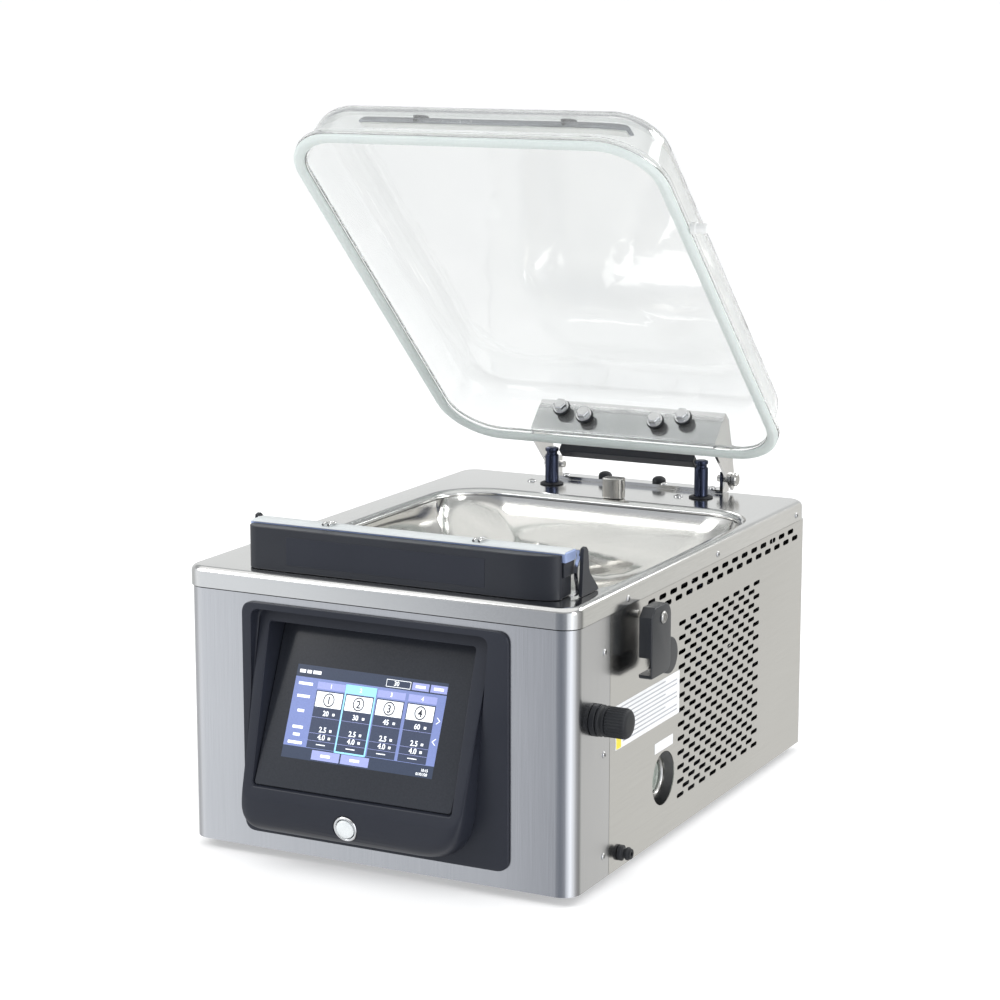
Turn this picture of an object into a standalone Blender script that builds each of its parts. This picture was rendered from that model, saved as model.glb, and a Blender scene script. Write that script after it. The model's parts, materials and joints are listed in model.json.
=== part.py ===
"""A table-top chamber vacuum packing machine, in separate named sub-parts.

Metres, +Z up, the front faces -Y and the machine's right side faces +X. Design coordinates put
x = 0 in the middle of the cabinet, y = 0 on its front sheet and z = 0 under the feet. The root
empty then moves the whole machine so that its box is centred on the origin. The lid is drawn
closed and its hinge empty turns it open.
"""
import math

import bmesh
import bpy
from mathutils import Matrix, Vector

# Cabinet
WIDTH = 0.340
DEPTH = 0.479
FOOT_HEIGHT = 0.008
SEAM_Z = FOOT_HEIGHT + 0.207
DECK_Z = FOOT_HEIGHT + 0.2235
SHEET = 0.0012
GAP = 0.0003
CORNER_R = 0.015
FRONT_RETURN = 0.0640
BASE_LIP = 0.0075
DECK_OVERHANG = 0.0015
DECK_EDGE_R = 0.0055

# Middle of the whole machine's box in design coordinates
BOX_MIDDLE_X = 0.0138
BOX_MIDDLE_Y = 0.22635

# Chamber, set off towards the right
CHAMBER_X = 0.011
CHAMBER_HALF = 0.146
CHAMBER_FRONT = 0.054
CHAMBER_REAR = 0.393
CHAMBER_R = 0.046
LIP_DROP = 0.005

# Lid, in its closed place
LID_X = 0.008
LID_WIDTH = 0.332
LID_LENGTH = 0.426
LID_REAR = 0.4234
LID_CORNER_R = 0.052
LID_HEIGHT = 0.050
LID_WALL = 0.0045
LID_FLANGE = 0.006
LID_DRAFT = 0.0025
LID_FLANGE_THICK = 0.0055
LID_TOP_R = 0.021
GASKET_THICK = 0.004
GASKET_WIDTH = 0.010
RIM_Z = DECK_Z + GAP + GASKET_THICK + GAP
LID_OPEN = math.radians(43.4)

# Hinge
HINGE_X = 0.011
HINGE_Y = 0.474
HINGE_Z = FOOT_HEIGHT + 0.236
GUSSET_OFFSET = 0.091
EAR_OFFSET = 0.085
ROD_OFFSET = 0.074
ROD_Y = 0.441
ROD_R = 0.0062
ROD_TOP = FOOT_HEIGHT + 0.258
ROD_BOTTOM = 0.084

# Seal unit
SEAL_X = 0.0135
SEAL_HALF = 0.1380
SEAL_TOP = DECK_Z + 0.0365
BAR_FRONT = 0.0245
BAR_REAR = 0.0425
CLIP_XS = (-0.056, 0.076)
COVER_SWEEP = 0.034
PRESSURE_LEFT = -0.110
PRESSURE_RIGHT = 0.134

# Control panel
BEZEL_HALF = 0.117
BEZEL_LOW = FOOT_HEIGHT + 0.014
BEZEL_HIGH = FOOT_HEIGHT + 0.2005
PLATE_FRONT = -0.003
FRAME_SLOPE = 0.24
FRAME_LOW_Y = -0.026
FRAME_LOW_Z = FOOT_HEIGHT + 0.048
GLASS_SLOPE = 0.42
GLASS_LOW_Y = -0.0215
GLASS_LOW_Z = FOOT_HEIGHT + 0.060
RECESS_LEFT = -0.1105
RECESS_RIGHT = 0.1025
RECESS_LOW = 0.0540
RECESS_HIGH = 0.1975
BUTTON_X = -0.0122
BUTTON_Z = FOOT_HEIGHT + 0.0358
BUTTON_TILT = math.radians(11)

# Right-hand side fittings
NOZZLE_Y = 0.037
NOZZLE_Z = FOOT_HEIGHT + 0.131
SPIGOT_Y = 0.084
SPIGOT_Z = FOOT_HEIGHT + 0.0125
SIGHT_Y = 0.168
SIGHT_Z = FOOT_HEIGHT + 0.0495
SIGHT_R = 0.022
LATCH_Y = 0.120
LATCH_Z = FOOT_HEIGHT + 0.1945
PIN_Y = 0.103
PIN_Z = RIM_Z + 0.0028


def start():
    for obj in list(bpy.data.objects):
        bpy.data.objects.remove(obj, do_unlink=True)
    machine = bpy.data.collections.new("vacuum_packing_machine")
    tools = bpy.data.collections.new("cutters")
    tools.hide_render = True
    for group in (machine, tools):
        bpy.context.scene.collection.children.link(group)
    return machine, tools


MACHINE, CUTTERS = start()
PIVOTS = {}


def add_pivot(name, place, turn=0.0):
    """An empty on a joint's axis. It turns about X, and what it carries is drawn unturned."""
    empty = bpy.data.objects.new(f"{name}_axis", None)
    empty.empty_display_size = 0.02
    MACHINE.objects.link(empty)
    empty.location = place
    empty.rotation_euler = (turn, 0, 0)
    if "machine" in PIVOTS:
        empty.parent = PIVOTS["machine"]
    PIVOTS[name] = empty
    return empty


def material(name, colour, roughness, metallic=0.0):
    found = bpy.data.materials.get(name)
    if found:
        return found
    made = bpy.data.materials.new(name)
    made.use_nodes = True
    shader = made.node_tree.nodes["Principled BSDF"]
    shader.inputs["Base Color"].default_value = (*colour, 1)
    shader.inputs["Roughness"].default_value = roughness
    shader.inputs["Metallic"].default_value = metallic
    return made


def brushed():
    return material("brushed_steel", (0.62, 0.62, 0.63), 0.32, 1.0)


def polished():
    return material("polished_steel", (0.74, 0.74, 0.73), 0.12, 1.0)


def black_plastic():
    return material("black_plastic", (0.012, 0.013, 0.016), 0.38)


def black_rubber():
    return material("black_rubber", (0.02, 0.02, 0.02), 0.8)


def acrylic():
    return material("clear_acrylic", (0.86, 0.92, 0.90), 0.05)


def dark_metal():
    return material("dark_metal", (0.03, 0.035, 0.055), 0.25, 1.0)


def cast_metal():
    return material("cast_aluminium", (0.45, 0.46, 0.47), 0.5, 1.0)


def attach(obj, body):
    """Hangs an object that is drawn in design coordinates on a body's pivot."""
    obj.parent = PIVOTS[body]
    offset = Vector((0, 0, 0)) if body == "machine" else PIVOTS[body].location
    obj.matrix_parent_inverse = Matrix.Translation(-offset)
    return obj


def finish_object(obj, look, body, tool=False):
    (CUTTERS if tool else MACHINE).objects.link(obj)
    if tool:
        obj.hide_render = True
        obj.display_type = "WIRE"
    else:
        obj.data.materials.append(look)
    return attach(obj, body)


def mesh_object(name, shape, look=None, body="machine", tool=False):
    bmesh.ops.recalc_face_normals(shape, faces=shape.faces)
    data = bpy.data.meshes.new(name)
    shape.to_mesh(data)
    shape.free()
    return finish_object(bpy.data.objects.new(name, data), look, body, tool)


def box(name, low, high, look=None, body="machine", bevel=0.0, tool=False, segments=2):
    low, high = Vector(low), Vector(high)
    shape = bmesh.new()
    bmesh.ops.create_cube(shape, size=1.0)
    size = high - low
    middle = (high + low) / 2
    for corner in shape.verts:
        corner.co = Vector(a * b for a, b in zip(corner.co, size)) + middle
    obj = mesh_object(name, shape, look, body, tool)
    if bevel:
        round_edges(obj, bevel, segments)
    return obj


def round_edges(obj, width, segments=2, angle=40):
    bevel = obj.modifiers.new("rounded", "BEVEL")
    bevel.width = width
    bevel.segments = segments
    bevel.limit_method = "ANGLE"
    bevel.angle_limit = math.radians(angle)
    return bevel


def axis_turn(axis):
    return Vector((0, 0, 1)).rotation_difference(Vector(axis)).to_matrix().to_4x4()


def rod(name, start_at, end_at, radius, look=None, body="machine", sides=24, tool=False, end_radius=None):
    """A round bar, or a cone, between two points."""
    start_at, end_at = Vector(start_at), Vector(end_at)
    run = end_at - start_at
    shape = bmesh.new()
    bmesh.ops.create_cone(
        shape, cap_ends=True, segments=sides, radius1=radius,
        radius2=radius if end_radius is None else end_radius, depth=run.length)
    place = Matrix.Translation((start_at + end_at) / 2) @ axis_turn(run.normalized())
    bmesh.ops.transform(shape, matrix=place, verts=shape.verts)
    return mesh_object(name, shape, look, body, tool)


def turned(name, profile, base, axis, look, body="machine", steps=24):
    """A turned piece. The profile is (radius, height) points up its outer side, on the axis or closed."""
    data = bpy.data.meshes.new(name)
    shape = bmesh.new()
    points = [shape.verts.new((r, 0, h)) for r, h in reversed(profile)]
    for one, two in zip(points, points[1:]):
        shape.edges.new((one, two))
    if profile[0] != profile[-1] and profile[0][0] > 0:
        shape.edges.new((points[-1], points[0]))
    shape.to_mesh(data)
    shape.free()
    obj = finish_object(bpy.data.objects.new(name, data), look, body)
    obj.matrix_basis = Matrix.Translation(base) @ axis_turn(axis)
    screw = obj.modifiers.new("turned", "SCREW")
    screw.steps = steps
    screw.render_steps = steps
    screw.use_merge_vertices = True
    screw.merge_threshold = 0.00001
    screw.use_smooth_shade = False
    return obj


def outline_plate(name, outline, thickness, place, look, body="machine"):
    """A flat closed outline, extruded to a thickness, and set by a 4x4 placing matrix."""
    data = bpy.data.curves.new(name, "CURVE")
    data.dimensions = "2D"
    data.fill_mode = "BOTH"
    data.extrude = thickness / 2
    spline = data.splines.new("POLY")
    spline.points.add(len(outline) - 1)
    for point, (x, y) in zip(spline.points, outline):
        point.co = (x, y, 0, 1)
    spline.use_cyclic_u = True
    obj = finish_object(bpy.data.objects.new(name, data), look, body)
    obj.matrix_basis = place
    return solid_mesh(obj, look, body)


def solid_mesh(curve, look, body):
    """A curve as a closed mesh object of the same name and place."""
    graph = bpy.context.evaluated_depsgraph_get()
    data = bpy.data.meshes.new_from_object(curve.evaluated_get(graph))
    shape = bmesh.new()
    shape.from_mesh(data)
    bmesh.ops.remove_doubles(shape, verts=shape.verts, dist=0.00001)
    bmesh.ops.recalc_face_normals(shape, faces=shape.faces)
    shape.to_mesh(data)
    shape.free()
    name, place = curve.name, curve.matrix_basis.copy()
    bpy.data.objects.remove(curve)
    data.materials.clear()
    data.name = name
    obj = finish_object(bpy.data.objects.new(name, data), look, body)
    obj.matrix_basis = place
    return obj


# Placing matrices that stand an outline's (x, y) in another plane
FACING_X = Matrix(((0, 0, 1, 0), (1, 0, 0, 0), (0, 1, 0, 0), (0, 0, 0, 1)))


def wire(name, points, radius, look, body="machine", sides=1):
    data = bpy.data.curves.new(name, "CURVE")
    data.dimensions = "3D"
    data.bevel_depth = radius
    data.bevel_resolution = sides
    data.use_fill_caps = True
    spline = data.splines.new("POLY")
    spline.points.add(len(points) - 1)
    for point, place in zip(spline.points, points):
        point.co = (*place, 1)
    return finish_object(bpy.data.objects.new(name, data), look, body)


def cut(obj, cutter):
    boolean = obj.modifiers.new("cut", "BOOLEAN")
    boolean.operation = "DIFFERENCE"
    boolean.solver = "EXACT"
    boolean.object = cutter


def arc(centre, radius, start_angle, end_angle, steps):
    points = []
    for step in range(steps + 1):
        angle = math.radians(start_angle + (end_angle - start_angle) * step / steps)
        points.append((centre[0] + radius * math.cos(angle), centre[1] + radius * math.sin(angle)))
    return points


def round_rect(low_x, high_x, low_y, high_y, radius, steps=6):
    points = []
    corners = ((high_x, high_y, 0), (low_x, high_y, 90), (low_x, low_y, 180), (high_x, low_y, 270))
    for x, y, angle in corners:
        inward = (-radius if x == high_x else radius, -radius if y == high_y else radius)
        points += arc((x + inward[0], y + inward[1]), radius, angle, angle + 90, steps)
    return points


def round_quad(corners, radii, steps=5):
    """A four-sided outline with its own radius at each corner, each drawn as a tangent arc."""
    points = []
    count = len(corners)
    for index, radius in enumerate(radii):
        corner = Vector(corners[index])
        back = (Vector(corners[index - 1]) - corner).normalized()
        ahead = (Vector(corners[(index + 1) % count]) - corner).normalized()
        half = back.angle(ahead) / 2
        centre = corner + (back + ahead).normalized() * radius / math.sin(half)
        start_arm = corner + back * radius / math.tan(half) - centre
        end_arm = corner + ahead * radius / math.tan(half) - centre
        turn = start_arm.angle_signed(end_arm)
        for step in range(steps + 1):
            arm = start_arm.copy()
            arm.rotate(Matrix.Rotation(-turn * step / steps, 2))
            points.append(tuple(centre + arm))
    return points


def loft(name, rings, look, body="machine", caps=True):
    """Skins rings that have the same number of points. Without caps the last ring joins the first."""
    shape = bmesh.new()
    rows = [[shape.verts.new(point) for point in ring] for ring in rings]
    count = len(rows[0])
    pairs = list(zip(rows, rows[1:]))
    if not caps:
        pairs.append((rows[-1], rows[0]))
    for one, two in pairs:
        for index in range(count):
            after = (index + 1) % count
            shape.faces.new((one[index], one[after], two[after], two[index]))
    if caps:
        shape.faces.new(rows[0])
        shape.faces.new(rows[-1])
    return mesh_object(name, shape, look, body)


def sheet(name, path, low, high, look, thickness=SHEET, body="machine", along="z"):
    """A bent sheet: an open path in plan, raised from low to high and thickened to its right side."""
    shape = bmesh.new()

    def point(place, level):
        if along == "z":
            return (place[0], place[1], level)
        return (place[0], level, place[1])

    bottom = [shape.verts.new(point(place, low)) for place in path]
    top = [shape.verts.new(point(place, high)) for place in path]
    for index in range(len(path) - 1):
        shape.faces.new((bottom[index], bottom[index + 1], top[index + 1], top[index]))
    data = bpy.data.meshes.new(name)
    shape.to_mesh(data)
    shape.free()
    obj = finish_object(bpy.data.objects.new(name, data), look, body)
    solid = obj.modifiers.new("thickness", "SOLIDIFY")
    solid.thickness = thickness
    solid.offset = -1
    solid.use_even_offset = True
    return obj


# --- Cabinet ---------------------------------------------------------------------------------


def build_base():
    inner = WIDTH / 2 - SHEET - GAP
    low = FOOT_HEIGHT
    rings = []
    for inset, level in ((0, low), (0, low + BASE_LIP), (0.0015, low + BASE_LIP), (0.0015, low + 0.0015)):
        outline = round_rect(-inner + inset, inner - inset, SHEET + GAP + inset,
                             DEPTH - SHEET - GAP - inset, CORNER_R - SHEET - GAP - inset, 4)
        rings.append([(x, y, level) for x, y in outline])
    loft("base_pan", rings, brushed())
    for side, x in (("left", -0.105), ("right", 0.105)):
        for end, y in (("front", 0.065), ("rear", 0.414)):
            foot = ((0.0, 0.0), (0.0135, 0.0), (0.0155, 0.0015), (0.0145, FOOT_HEIGHT - GAP),
                    (0.0, FOOT_HEIGHT - GAP))
            turned(f"foot_{end}_{side}", foot, (x, y, 0), (0, 0, 1), black_rubber(), steps=16)


def build_front_panel():
    half = WIDTH / 2
    path = [(-half, FRONT_RETURN)]
    path += arc((-half + CORNER_R, CORNER_R), CORNER_R, 180, 270, 6)
    path += arc((half - CORNER_R, CORNER_R), CORNER_R, 270, 360, 6)
    path.append((half, FRONT_RETURN))
    panel = sheet("front_panel", path, FOOT_HEIGHT, SEAM_Z, brushed())
    window = box("bezel_opening", (RECESS_LEFT - 0.001, -0.01, FOOT_HEIGHT + RECESS_LOW - 0.001),
                 (RECESS_RIGHT + 0.001, 0.01, FOOT_HEIGHT + RECESS_HIGH + 0.001), tool=True)
    cut(panel, window)
    cut(panel, rod("nozzle_opening", (0.16, NOZZLE_Y, NOZZLE_Z), (0.18, NOZZLE_Y, NOZZLE_Z), 0.0085, tool=True))


def side_path(sign):
    """The side cover's plan: a flat side, a small rear corner and a return behind."""
    half = WIDTH / 2
    corner = 0.006
    path = [(half, FRONT_RETURN + 0.0005)]
    path += arc((half - corner, DEPTH - corner), corner, 0, 90, 4)
    path.append((0.1400, DEPTH))
    if sign < 0:
        path = [(-x, y) for x, y in reversed(path)]
    return path


def build_side_covers():
    right = sheet("side_cover_right", side_path(1), FOOT_HEIGHT, SEAM_Z, polished())
    for name, y, z, radius in (("sight_opening", SIGHT_Y, SIGHT_Z, SIGHT_R),
                               ("spigot_opening", SPIGOT_Y, SPIGOT_Z, 0.0042)):
        cut(right, rod(name, (0.16, y, z), (0.18, y, z), radius, sides=32, tool=True))
    sheet("side_cover_left", side_path(-1), FOOT_HEIGHT, SEAM_Z, polished())
    rear = box("rear_panel", (-0.1396, DEPTH - SHEET, FOOT_HEIGHT), (0.1396, DEPTH, SEAM_Z), brushed())
    cut(rear, box("inlet_opening", (-0.112, 0.47, 0.038), (-0.082, 0.49, 0.060), tool=True))
    cut(rear, rod("fan_opening", (0.070, 0.47, 0.110), (0.070, 0.49, 0.110), 0.037, sides=32, tool=True))


def deck_outline(inset, level, radius=CORNER_R + DECK_OVERHANG):
    reach = WIDTH / 2 + DECK_OVERHANG - inset
    outline = round_rect(-reach, reach, -DECK_OVERHANG + inset, DEPTH + DECK_OVERHANG - inset,
                         radius - inset, 6)
    return [(x, y, level) for x, y in outline]


def opening_outline(grow, level):
    outline = round_rect(CHAMBER_X - CHAMBER_HALF - grow, CHAMBER_X + CHAMBER_HALF + grow,
                         CHAMBER_FRONT - grow, CHAMBER_REAR + grow, max(CHAMBER_R + grow, 0.006), 6)
    return [(x, y, level) for x, y in outline]


def build_deck():
    plate = 0.0015
    edge = DECK_EDGE_R
    rings = [deck_outline(0, SEAM_Z + GAP)]
    for angle in (0, 30, 60, 90):
        turn = math.radians(angle)
        rings.append(deck_outline(edge * (1 - math.cos(turn)), DECK_Z - edge + edge * math.sin(turn)))
    rings.append(opening_outline(0.004, DECK_Z))
    rings.append(opening_outline(0.0012, DECK_Z - 0.0012))
    rings.append(opening_outline(0, DECK_Z - 0.004))
    rings.append(opening_outline(0, DECK_Z - LIP_DROP))
    rings.append(opening_outline(plate, DECK_Z - LIP_DROP))
    rings.append(opening_outline(0.005, DECK_Z - plate))
    rings.append(deck_outline(edge, DECK_Z - plate))
    rings.append(deck_outline(plate, DECK_Z - edge))
    rings.append(deck_outline(plate, SEAM_Z + GAP))
    deck = loft("deck", rings, polished(), caps=False)
    for side in (-1, 1):
        x = HINGE_X + side * ROD_OFFSET
        cut(deck, rod(f"rod_opening_{side}", (x, ROD_Y, DECK_Z - 0.02), (x, ROD_Y, DECK_Z + 0.02),
                      ROD_R + 0.001, tool=True))


def build_basin():
    """The pressed chamber bowl. Its flange lies under the deck's lip."""
    top = DECK_Z - LIP_DROP - GAP
    wall = 0.0012
    levels = ((0.0015, 0.0), (0.004, 0.018), (0.009, 0.045), (0.020, 0.068), (0.040, 0.082), (0.062, 0.088))
    inside = [opening_outline(-inset, top - drop) for inset, drop in levels]
    outside = [opening_outline(-inset + wall, top - drop - wall) for inset, drop in levels]
    flange_top = opening_outline(0.008, top)
    flange_low = opening_outline(0.008, top - wall)
    rings = list(reversed(inside)) + [flange_top, flange_low] + outside
    loft("chamber_basin", rings, polished())


# --- Lid -------------------------------------------------------------------------------------


def lid_ring(inset, height):
    half = LID_WIDTH / 2 - inset
    outline = round_rect(LID_X - half, LID_X + half, LID_REAR - LID_LENGTH + inset,
                         LID_REAR - inset, LID_CORNER_R - inset, 7)
    return [(x, y, RIM_Z + height) for x, y in outline]


def dome_side(foot_inset, height, top_radius):
    """Rings of one skin of the dome, from its foot to its flat top."""
    rings = []
    rise = height - top_radius
    for angle in (0, 22, 45, 67, 90):
        turn = math.radians(angle)
        inset = foot_inset + LID_DRAFT + top_radius * (1 - math.cos(turn))
        rings.append(lid_ring(inset, rise + top_radius * math.sin(turn)))
    return [lid_ring(foot_inset, LID_FLANGE_THICK)] + rings


def build_lid():
    outer = dome_side(LID_FLANGE, LID_HEIGHT, LID_TOP_R)
    inner = dome_side(LID_FLANGE + LID_WALL, LID_HEIGHT - LID_WALL, LID_TOP_R - LID_WALL)
    flange = [lid_ring(LID_FLANGE + LID_WALL, 0), lid_ring(0.0, 0), lid_ring(0.0, LID_FLANGE_THICK)]
    loft("lid_dome", list(reversed(inner)) + flange + outer, acrylic(), body="lid")
    build_gasket()
    build_lid_bracket()
    build_pressure_bar()
    white = material("white_plastic", (0.8, 0.8, 0.78), 0.35)
    wall_x = LID_X + LID_WIDTH / 2
    pin = ((0.0, 0.0), (0.0048, 0.0), (0.0048, 0.0125), (0.0040, 0.0135), (0.0, 0.0135))
    turned("lid_lock_pin", pin, (wall_x + GAP, PIN_Y, PIN_Z), (1, 0, 0), white, body="lid", steps=16)


def build_gasket():
    rings = []
    for inset, height in ((0.0005, -GAP), (0.0005, -GAP - 0.002), (0.002, -GAP - GASKET_THICK),
                          (GASKET_WIDTH - 0.002, -GAP - GASKET_THICK), (GASKET_WIDTH, -GAP - 0.002),
                          (GASKET_WIDTH, -GAP)):
        rings.append(lid_ring(inset, height))
    look = material("gasket_silicone", (0.80, 0.86, 0.84), 0.45)
    loft("lid_gasket", rings, look, body="lid", caps=False)


def build_lid_bracket():
    """A steel channel behind the lid's rear wall. Its two ears run back to the hinge pins."""
    plate = 0.0025
    wall_y = LID_REAR - LID_FLANGE + GAP
    low = HINGE_Z - 0.0065
    high = RIM_Z + 0.041
    left, right = HINGE_X - GUSSET_OFFSET, HINGE_X + GUSSET_OFFSET
    ear_end = HINGE_Y + 0.008
    path = [(left, ear_end), (left, wall_y), (right, wall_y), (right, ear_end)]
    bracket = sheet("lid_bracket", path, low, high, polished(), thickness=plate, body="lid")
    notch = box("rim_notch", (left - 0.01, wall_y - 0.01, low - 0.01),
                (right + 0.01, LID_REAR + 0.0006, RIM_Z + LID_FLANGE_THICK + GAP), body="lid", tool=True)
    cut(bracket, notch)
    slope = box("ear_slope", (left - 0.01, 0, 0), (right + 0.01, 0.12, 0.08), body="lid", tool=True)
    slope.matrix_basis = (Matrix.Translation((0, wall_y + 0.010, high + 0.001))
                          @ Matrix.Rotation(math.radians(-32), 4, "X"))
    cut(bracket, slope)
    pins = rod("hinge_bore", (left - 0.01, HINGE_Y, HINGE_Z), (right + 0.01, HINGE_Y, HINGE_Z), 0.0034,
               body="lid", tool=True)
    cut(bracket, pins)
    bar_half = ROD_OFFSET - ROD_R - 0.0015
    box("lid_cross_bar", (HINGE_X - bar_half, 0.4350, DECK_Z + 0.0026),
        (HINGE_X + bar_half, 0.4450, DECK_Z + 0.0102), black_plastic(), "lid", bevel=0.0006, segments=1)


def build_pressure_bar():
    """The pressing bar under the lid's front, with its silicone face, above the seal bar."""
    ceiling = RIM_Z + LID_HEIGHT - LID_WALL
    low, high = 0.0310, 0.0405
    smoke = material("smoked_plastic", (0.12, 0.13, 0.14), 0.3)
    pad_top = SEAL_TOP + 0.0054
    left, right = PRESSURE_LEFT, PRESSURE_RIGHT
    box("pressure_pad", (left + 0.004, 0.0315, SEAL_TOP + 0.0027), (right - 0.004, 0.0395, pad_top),
        material("white_silicone", (0.78, 0.79, 0.77), 0.55), "lid", bevel=0.0008, segments=1)
    outline = [(left, pad_top + GAP), (right, pad_top + GAP),
               (right - 0.006, ceiling - GAP), (left + 0.006, ceiling - GAP)]
    place = Matrix.Translation((0, (low + high) / 2, 0)) @ Matrix.Rotation(math.radians(90), 4, "X")
    outline_plate("pressure_bar", outline, high - low, place, smoke, "lid")
    for side, x in zip(("left", "right"), CLIP_XS):
        knob = ((0.0, 0.0), (0.0052, 0.0), (0.0066, 0.0012), (0.0066, 0.0080), (0.0050, 0.0095), (0.0, 0.0095))
        turned(f"pressure_knob_{side}", knob, (x, (low + high) / 2, RIM_Z + LID_HEIGHT + GAP), (0, 0, 1),
               black_plastic(), body="lid", steps=16)


# --- Hinge and gas springs --------------------------------------------------------------------


def build_hinge():
    plate = 0.003
    left, right = HINGE_X - EAR_OFFSET, HINGE_X + EAR_OFFSET
    ear_top = HINGE_Z + 0.0075
    low = DECK_Z + GAP
    path = [(left, ear_top), (left, low), (right, low), (right, ear_top)]
    base = sheet("hinge_base", path, 0.4655, 0.4800, polished(), thickness=plate, along="y")
    base.modifiers["thickness"].offset = 1
    cut(base, rod("ear_bore", (left - 0.02, HINGE_Y, HINGE_Z), (right + 0.02, HINGE_Y, HINGE_Z), 0.0034,
                  tool=True))
    for side, sign in (("left", -1), ("right", 1)):
        x = HINGE_X + sign * (GUSSET_OFFSET + GAP)
        pin = ((0.0, -0.0145), (0.0031, -0.0145), (0.0031, 0.0), (0.0060, 0.0), (0.0060, 0.0035),
               (0.0048, 0.0045), (0.0, 0.0045))
        turned(f"hinge_pin_{side}", pin, (x, HINGE_Y, HINGE_Z), (sign, 0, 0), polished(), steps=12)
        stop = ((0.0, 0.0), (0.0062, 0.0), (0.0062, 0.0020), (0.0048, 0.0045), (0.0022, 0.0058),
                (0.0, 0.0060))
        turned(f"lid_stop_{side}", stop, (HINGE_X - 0.008 + sign * 0.027, 0.4735, low + plate + GAP),
               (0, 0, 1), black_rubber(), steps=14)
        build_gas_spring(side, HINGE_X + sign * ROD_OFFSET)


def build_gas_spring(side, x):
    body = f"strut_{side}"
    stem = ((0.0, ROD_BOTTOM), (ROD_R - 0.0005, ROD_BOTTOM), (ROD_R, ROD_BOTTOM + 0.001),
            (ROD_R, ROD_TOP - 0.0015), (ROD_R - 0.0015, ROD_TOP), (0.0, ROD_TOP))
    turned(f"strut_rod_{side}", stem, (x, ROD_Y, 0), (0, 0, 1), dark_metal(), body=body, steps=20)
    bore = ROD_R + 0.0004
    tube = ((0.0, 0.0320), (0.0105, 0.0320), (0.0105, 0.1500), (0.0095, 0.1510), (bore, 0.1510),
            (bore, 0.0360), (0.0, 0.0360))
    turned(f"gas_cylinder_{side}", tube, (x, ROD_Y, 0), (0, 0, 1), dark_metal(), steps=20)
    ring = ((bore, 0.0), (0.0108, 0.0), (0.0108, 0.0008), (0.0090, 0.0018), (bore, 0.0018))
    turned(f"rod_grommet_{side}", ring, (x, ROD_Y, DECK_Z + GAP), (0, 0, 1), black_rubber(), steps=20)


# --- Seal unit -------------------------------------------------------------------------------


def build_seal_unit():
    left, right = SEAL_X - SEAL_HALF + 0.003, SEAL_X + SEAL_HALF - 0.003
    front, rear = 0.0115, BAR_FRONT - GAP
    curve = 0.0105
    outline = [(right, rear), (left, rear)]
    outline += arc((left + curve, front + curve), curve, 180, 270, 6)
    depth = rear - front
    for x, y in arc((0, 0), 1.0, 270, 350, 7):
        outline.append((right - COVER_SWEEP + COVER_SWEEP * x, rear + depth * y))
    tall = SEAL_TOP - 0.0022 - DECK_Z - GAP
    place = Matrix.Translation((0, 0, DECK_Z + GAP + tall / 2))
    outline_plate("seal_front_cover", outline, tall, place, black_plastic())
    base_top = DECK_Z + 0.0165
    box("seal_bar_base", (left + 0.002, BAR_FRONT + 0.001, DECK_Z + GAP), (right - 0.001, BAR_REAR, base_top),
        black_plastic(), bevel=0.001, segments=1)
    blue = material("seal_bar_blue", (0.35, 0.42, 0.62), 0.35)
    box("seal_bar", (SEAL_X - SEAL_HALF, BAR_FRONT, base_top + GAP),
        (SEAL_X + SEAL_HALF, BAR_REAR, SEAL_TOP), blue, "seal_bar", bevel=0.001)
    for side, sign in (("left", -1), ("right", 1)):
        build_seal_end(side, sign)
    for side, x in zip(("left", "right"), CLIP_XS):
        build_clip(side, x)


def build_seal_end(side, sign):
    """A black foot and a chrome leaf spring that hold one end of the seal bar."""
    x = SEAL_X + sign * (SEAL_HALF + 0.0050)
    low = DECK_Z + GAP
    foot = [(0.0385, 0.0), (0.0700, 0.0), (0.0520, 0.0170), (0.0495, 0.0345), (0.0460, 0.0375), (0.0415, 0.0365)]
    outline = [(y, low + z) for y, z in foot]
    place = Matrix.Translation((x, 0, 0)) @ FACING_X
    outline_plate(f"seal_foot_{side}", outline, 0.003, place, black_plastic())
    spring_x = SEAL_X + sign * (SEAL_HALF + 0.0018)
    strip = [(0.0300, 0.0015), (0.0400, 0.0015), (0.0405, 0.0080), (0.0380, 0.0150), (0.0385, 0.0230),
             (0.0425, 0.0290), (0.0415, 0.0355)]
    thick = 0.0011
    outer = [(y, low + z) for y, z in strip]
    inner = [(y - thick, low + z + (thick if z < 0.002 else 0)) for y, z in reversed(strip)]
    place = Matrix.Translation((spring_x, 0, 0)) @ FACING_X
    outline_plate(f"seal_spring_{side}", outer + inner, 0.0028, place, polished())


def build_clip(side, x):
    """A wire hairpin hinged on the seal bar's front edge, lying over the bar."""
    radius = 0.0009
    half = 0.0026
    top = SEAL_TOP + radius + GAP
    front = BAR_FRONT - 0.0004
    y_back = BAR_REAR - 0.004
    leg = [(front, top), (front + 0.002, top + 0.0014), (front + 0.0042, top + 0.0004), (y_back - 0.003, top)]
    points = [(x - half, y, z) for y, z in leg]
    for place in arc((0, 0), half, 180, 0, 4):
        points.append((x + place[0], y_back - 0.003 + place[1], top))
    points += [(x + half, y, z) for y, z in reversed(leg)]
    wire(f"bag_clip_{side}", points, radius, polished(), body=f"clip_{side}")


def build_suction_cover():
    middle_x, front, rear = 0.0165, 0.3972, 0.4100
    low = DECK_Z + GAP
    cover = box("suction_cover", (middle_x - 0.0095, front, low), (middle_x + 0.0095, rear, low + 0.0185),
                polished(), "suction_cover", bevel=0.0035, segments=3)
    slot = box("suction_slot", (middle_x + 0.006, front + 0.0052, low + 0.0060),
               (middle_x + 0.012, rear - 0.0052, low + 0.0140), body="suction_cover", tool=True)
    cut(cover, slot)


# --- Control panel ---------------------------------------------------------------------------


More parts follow.
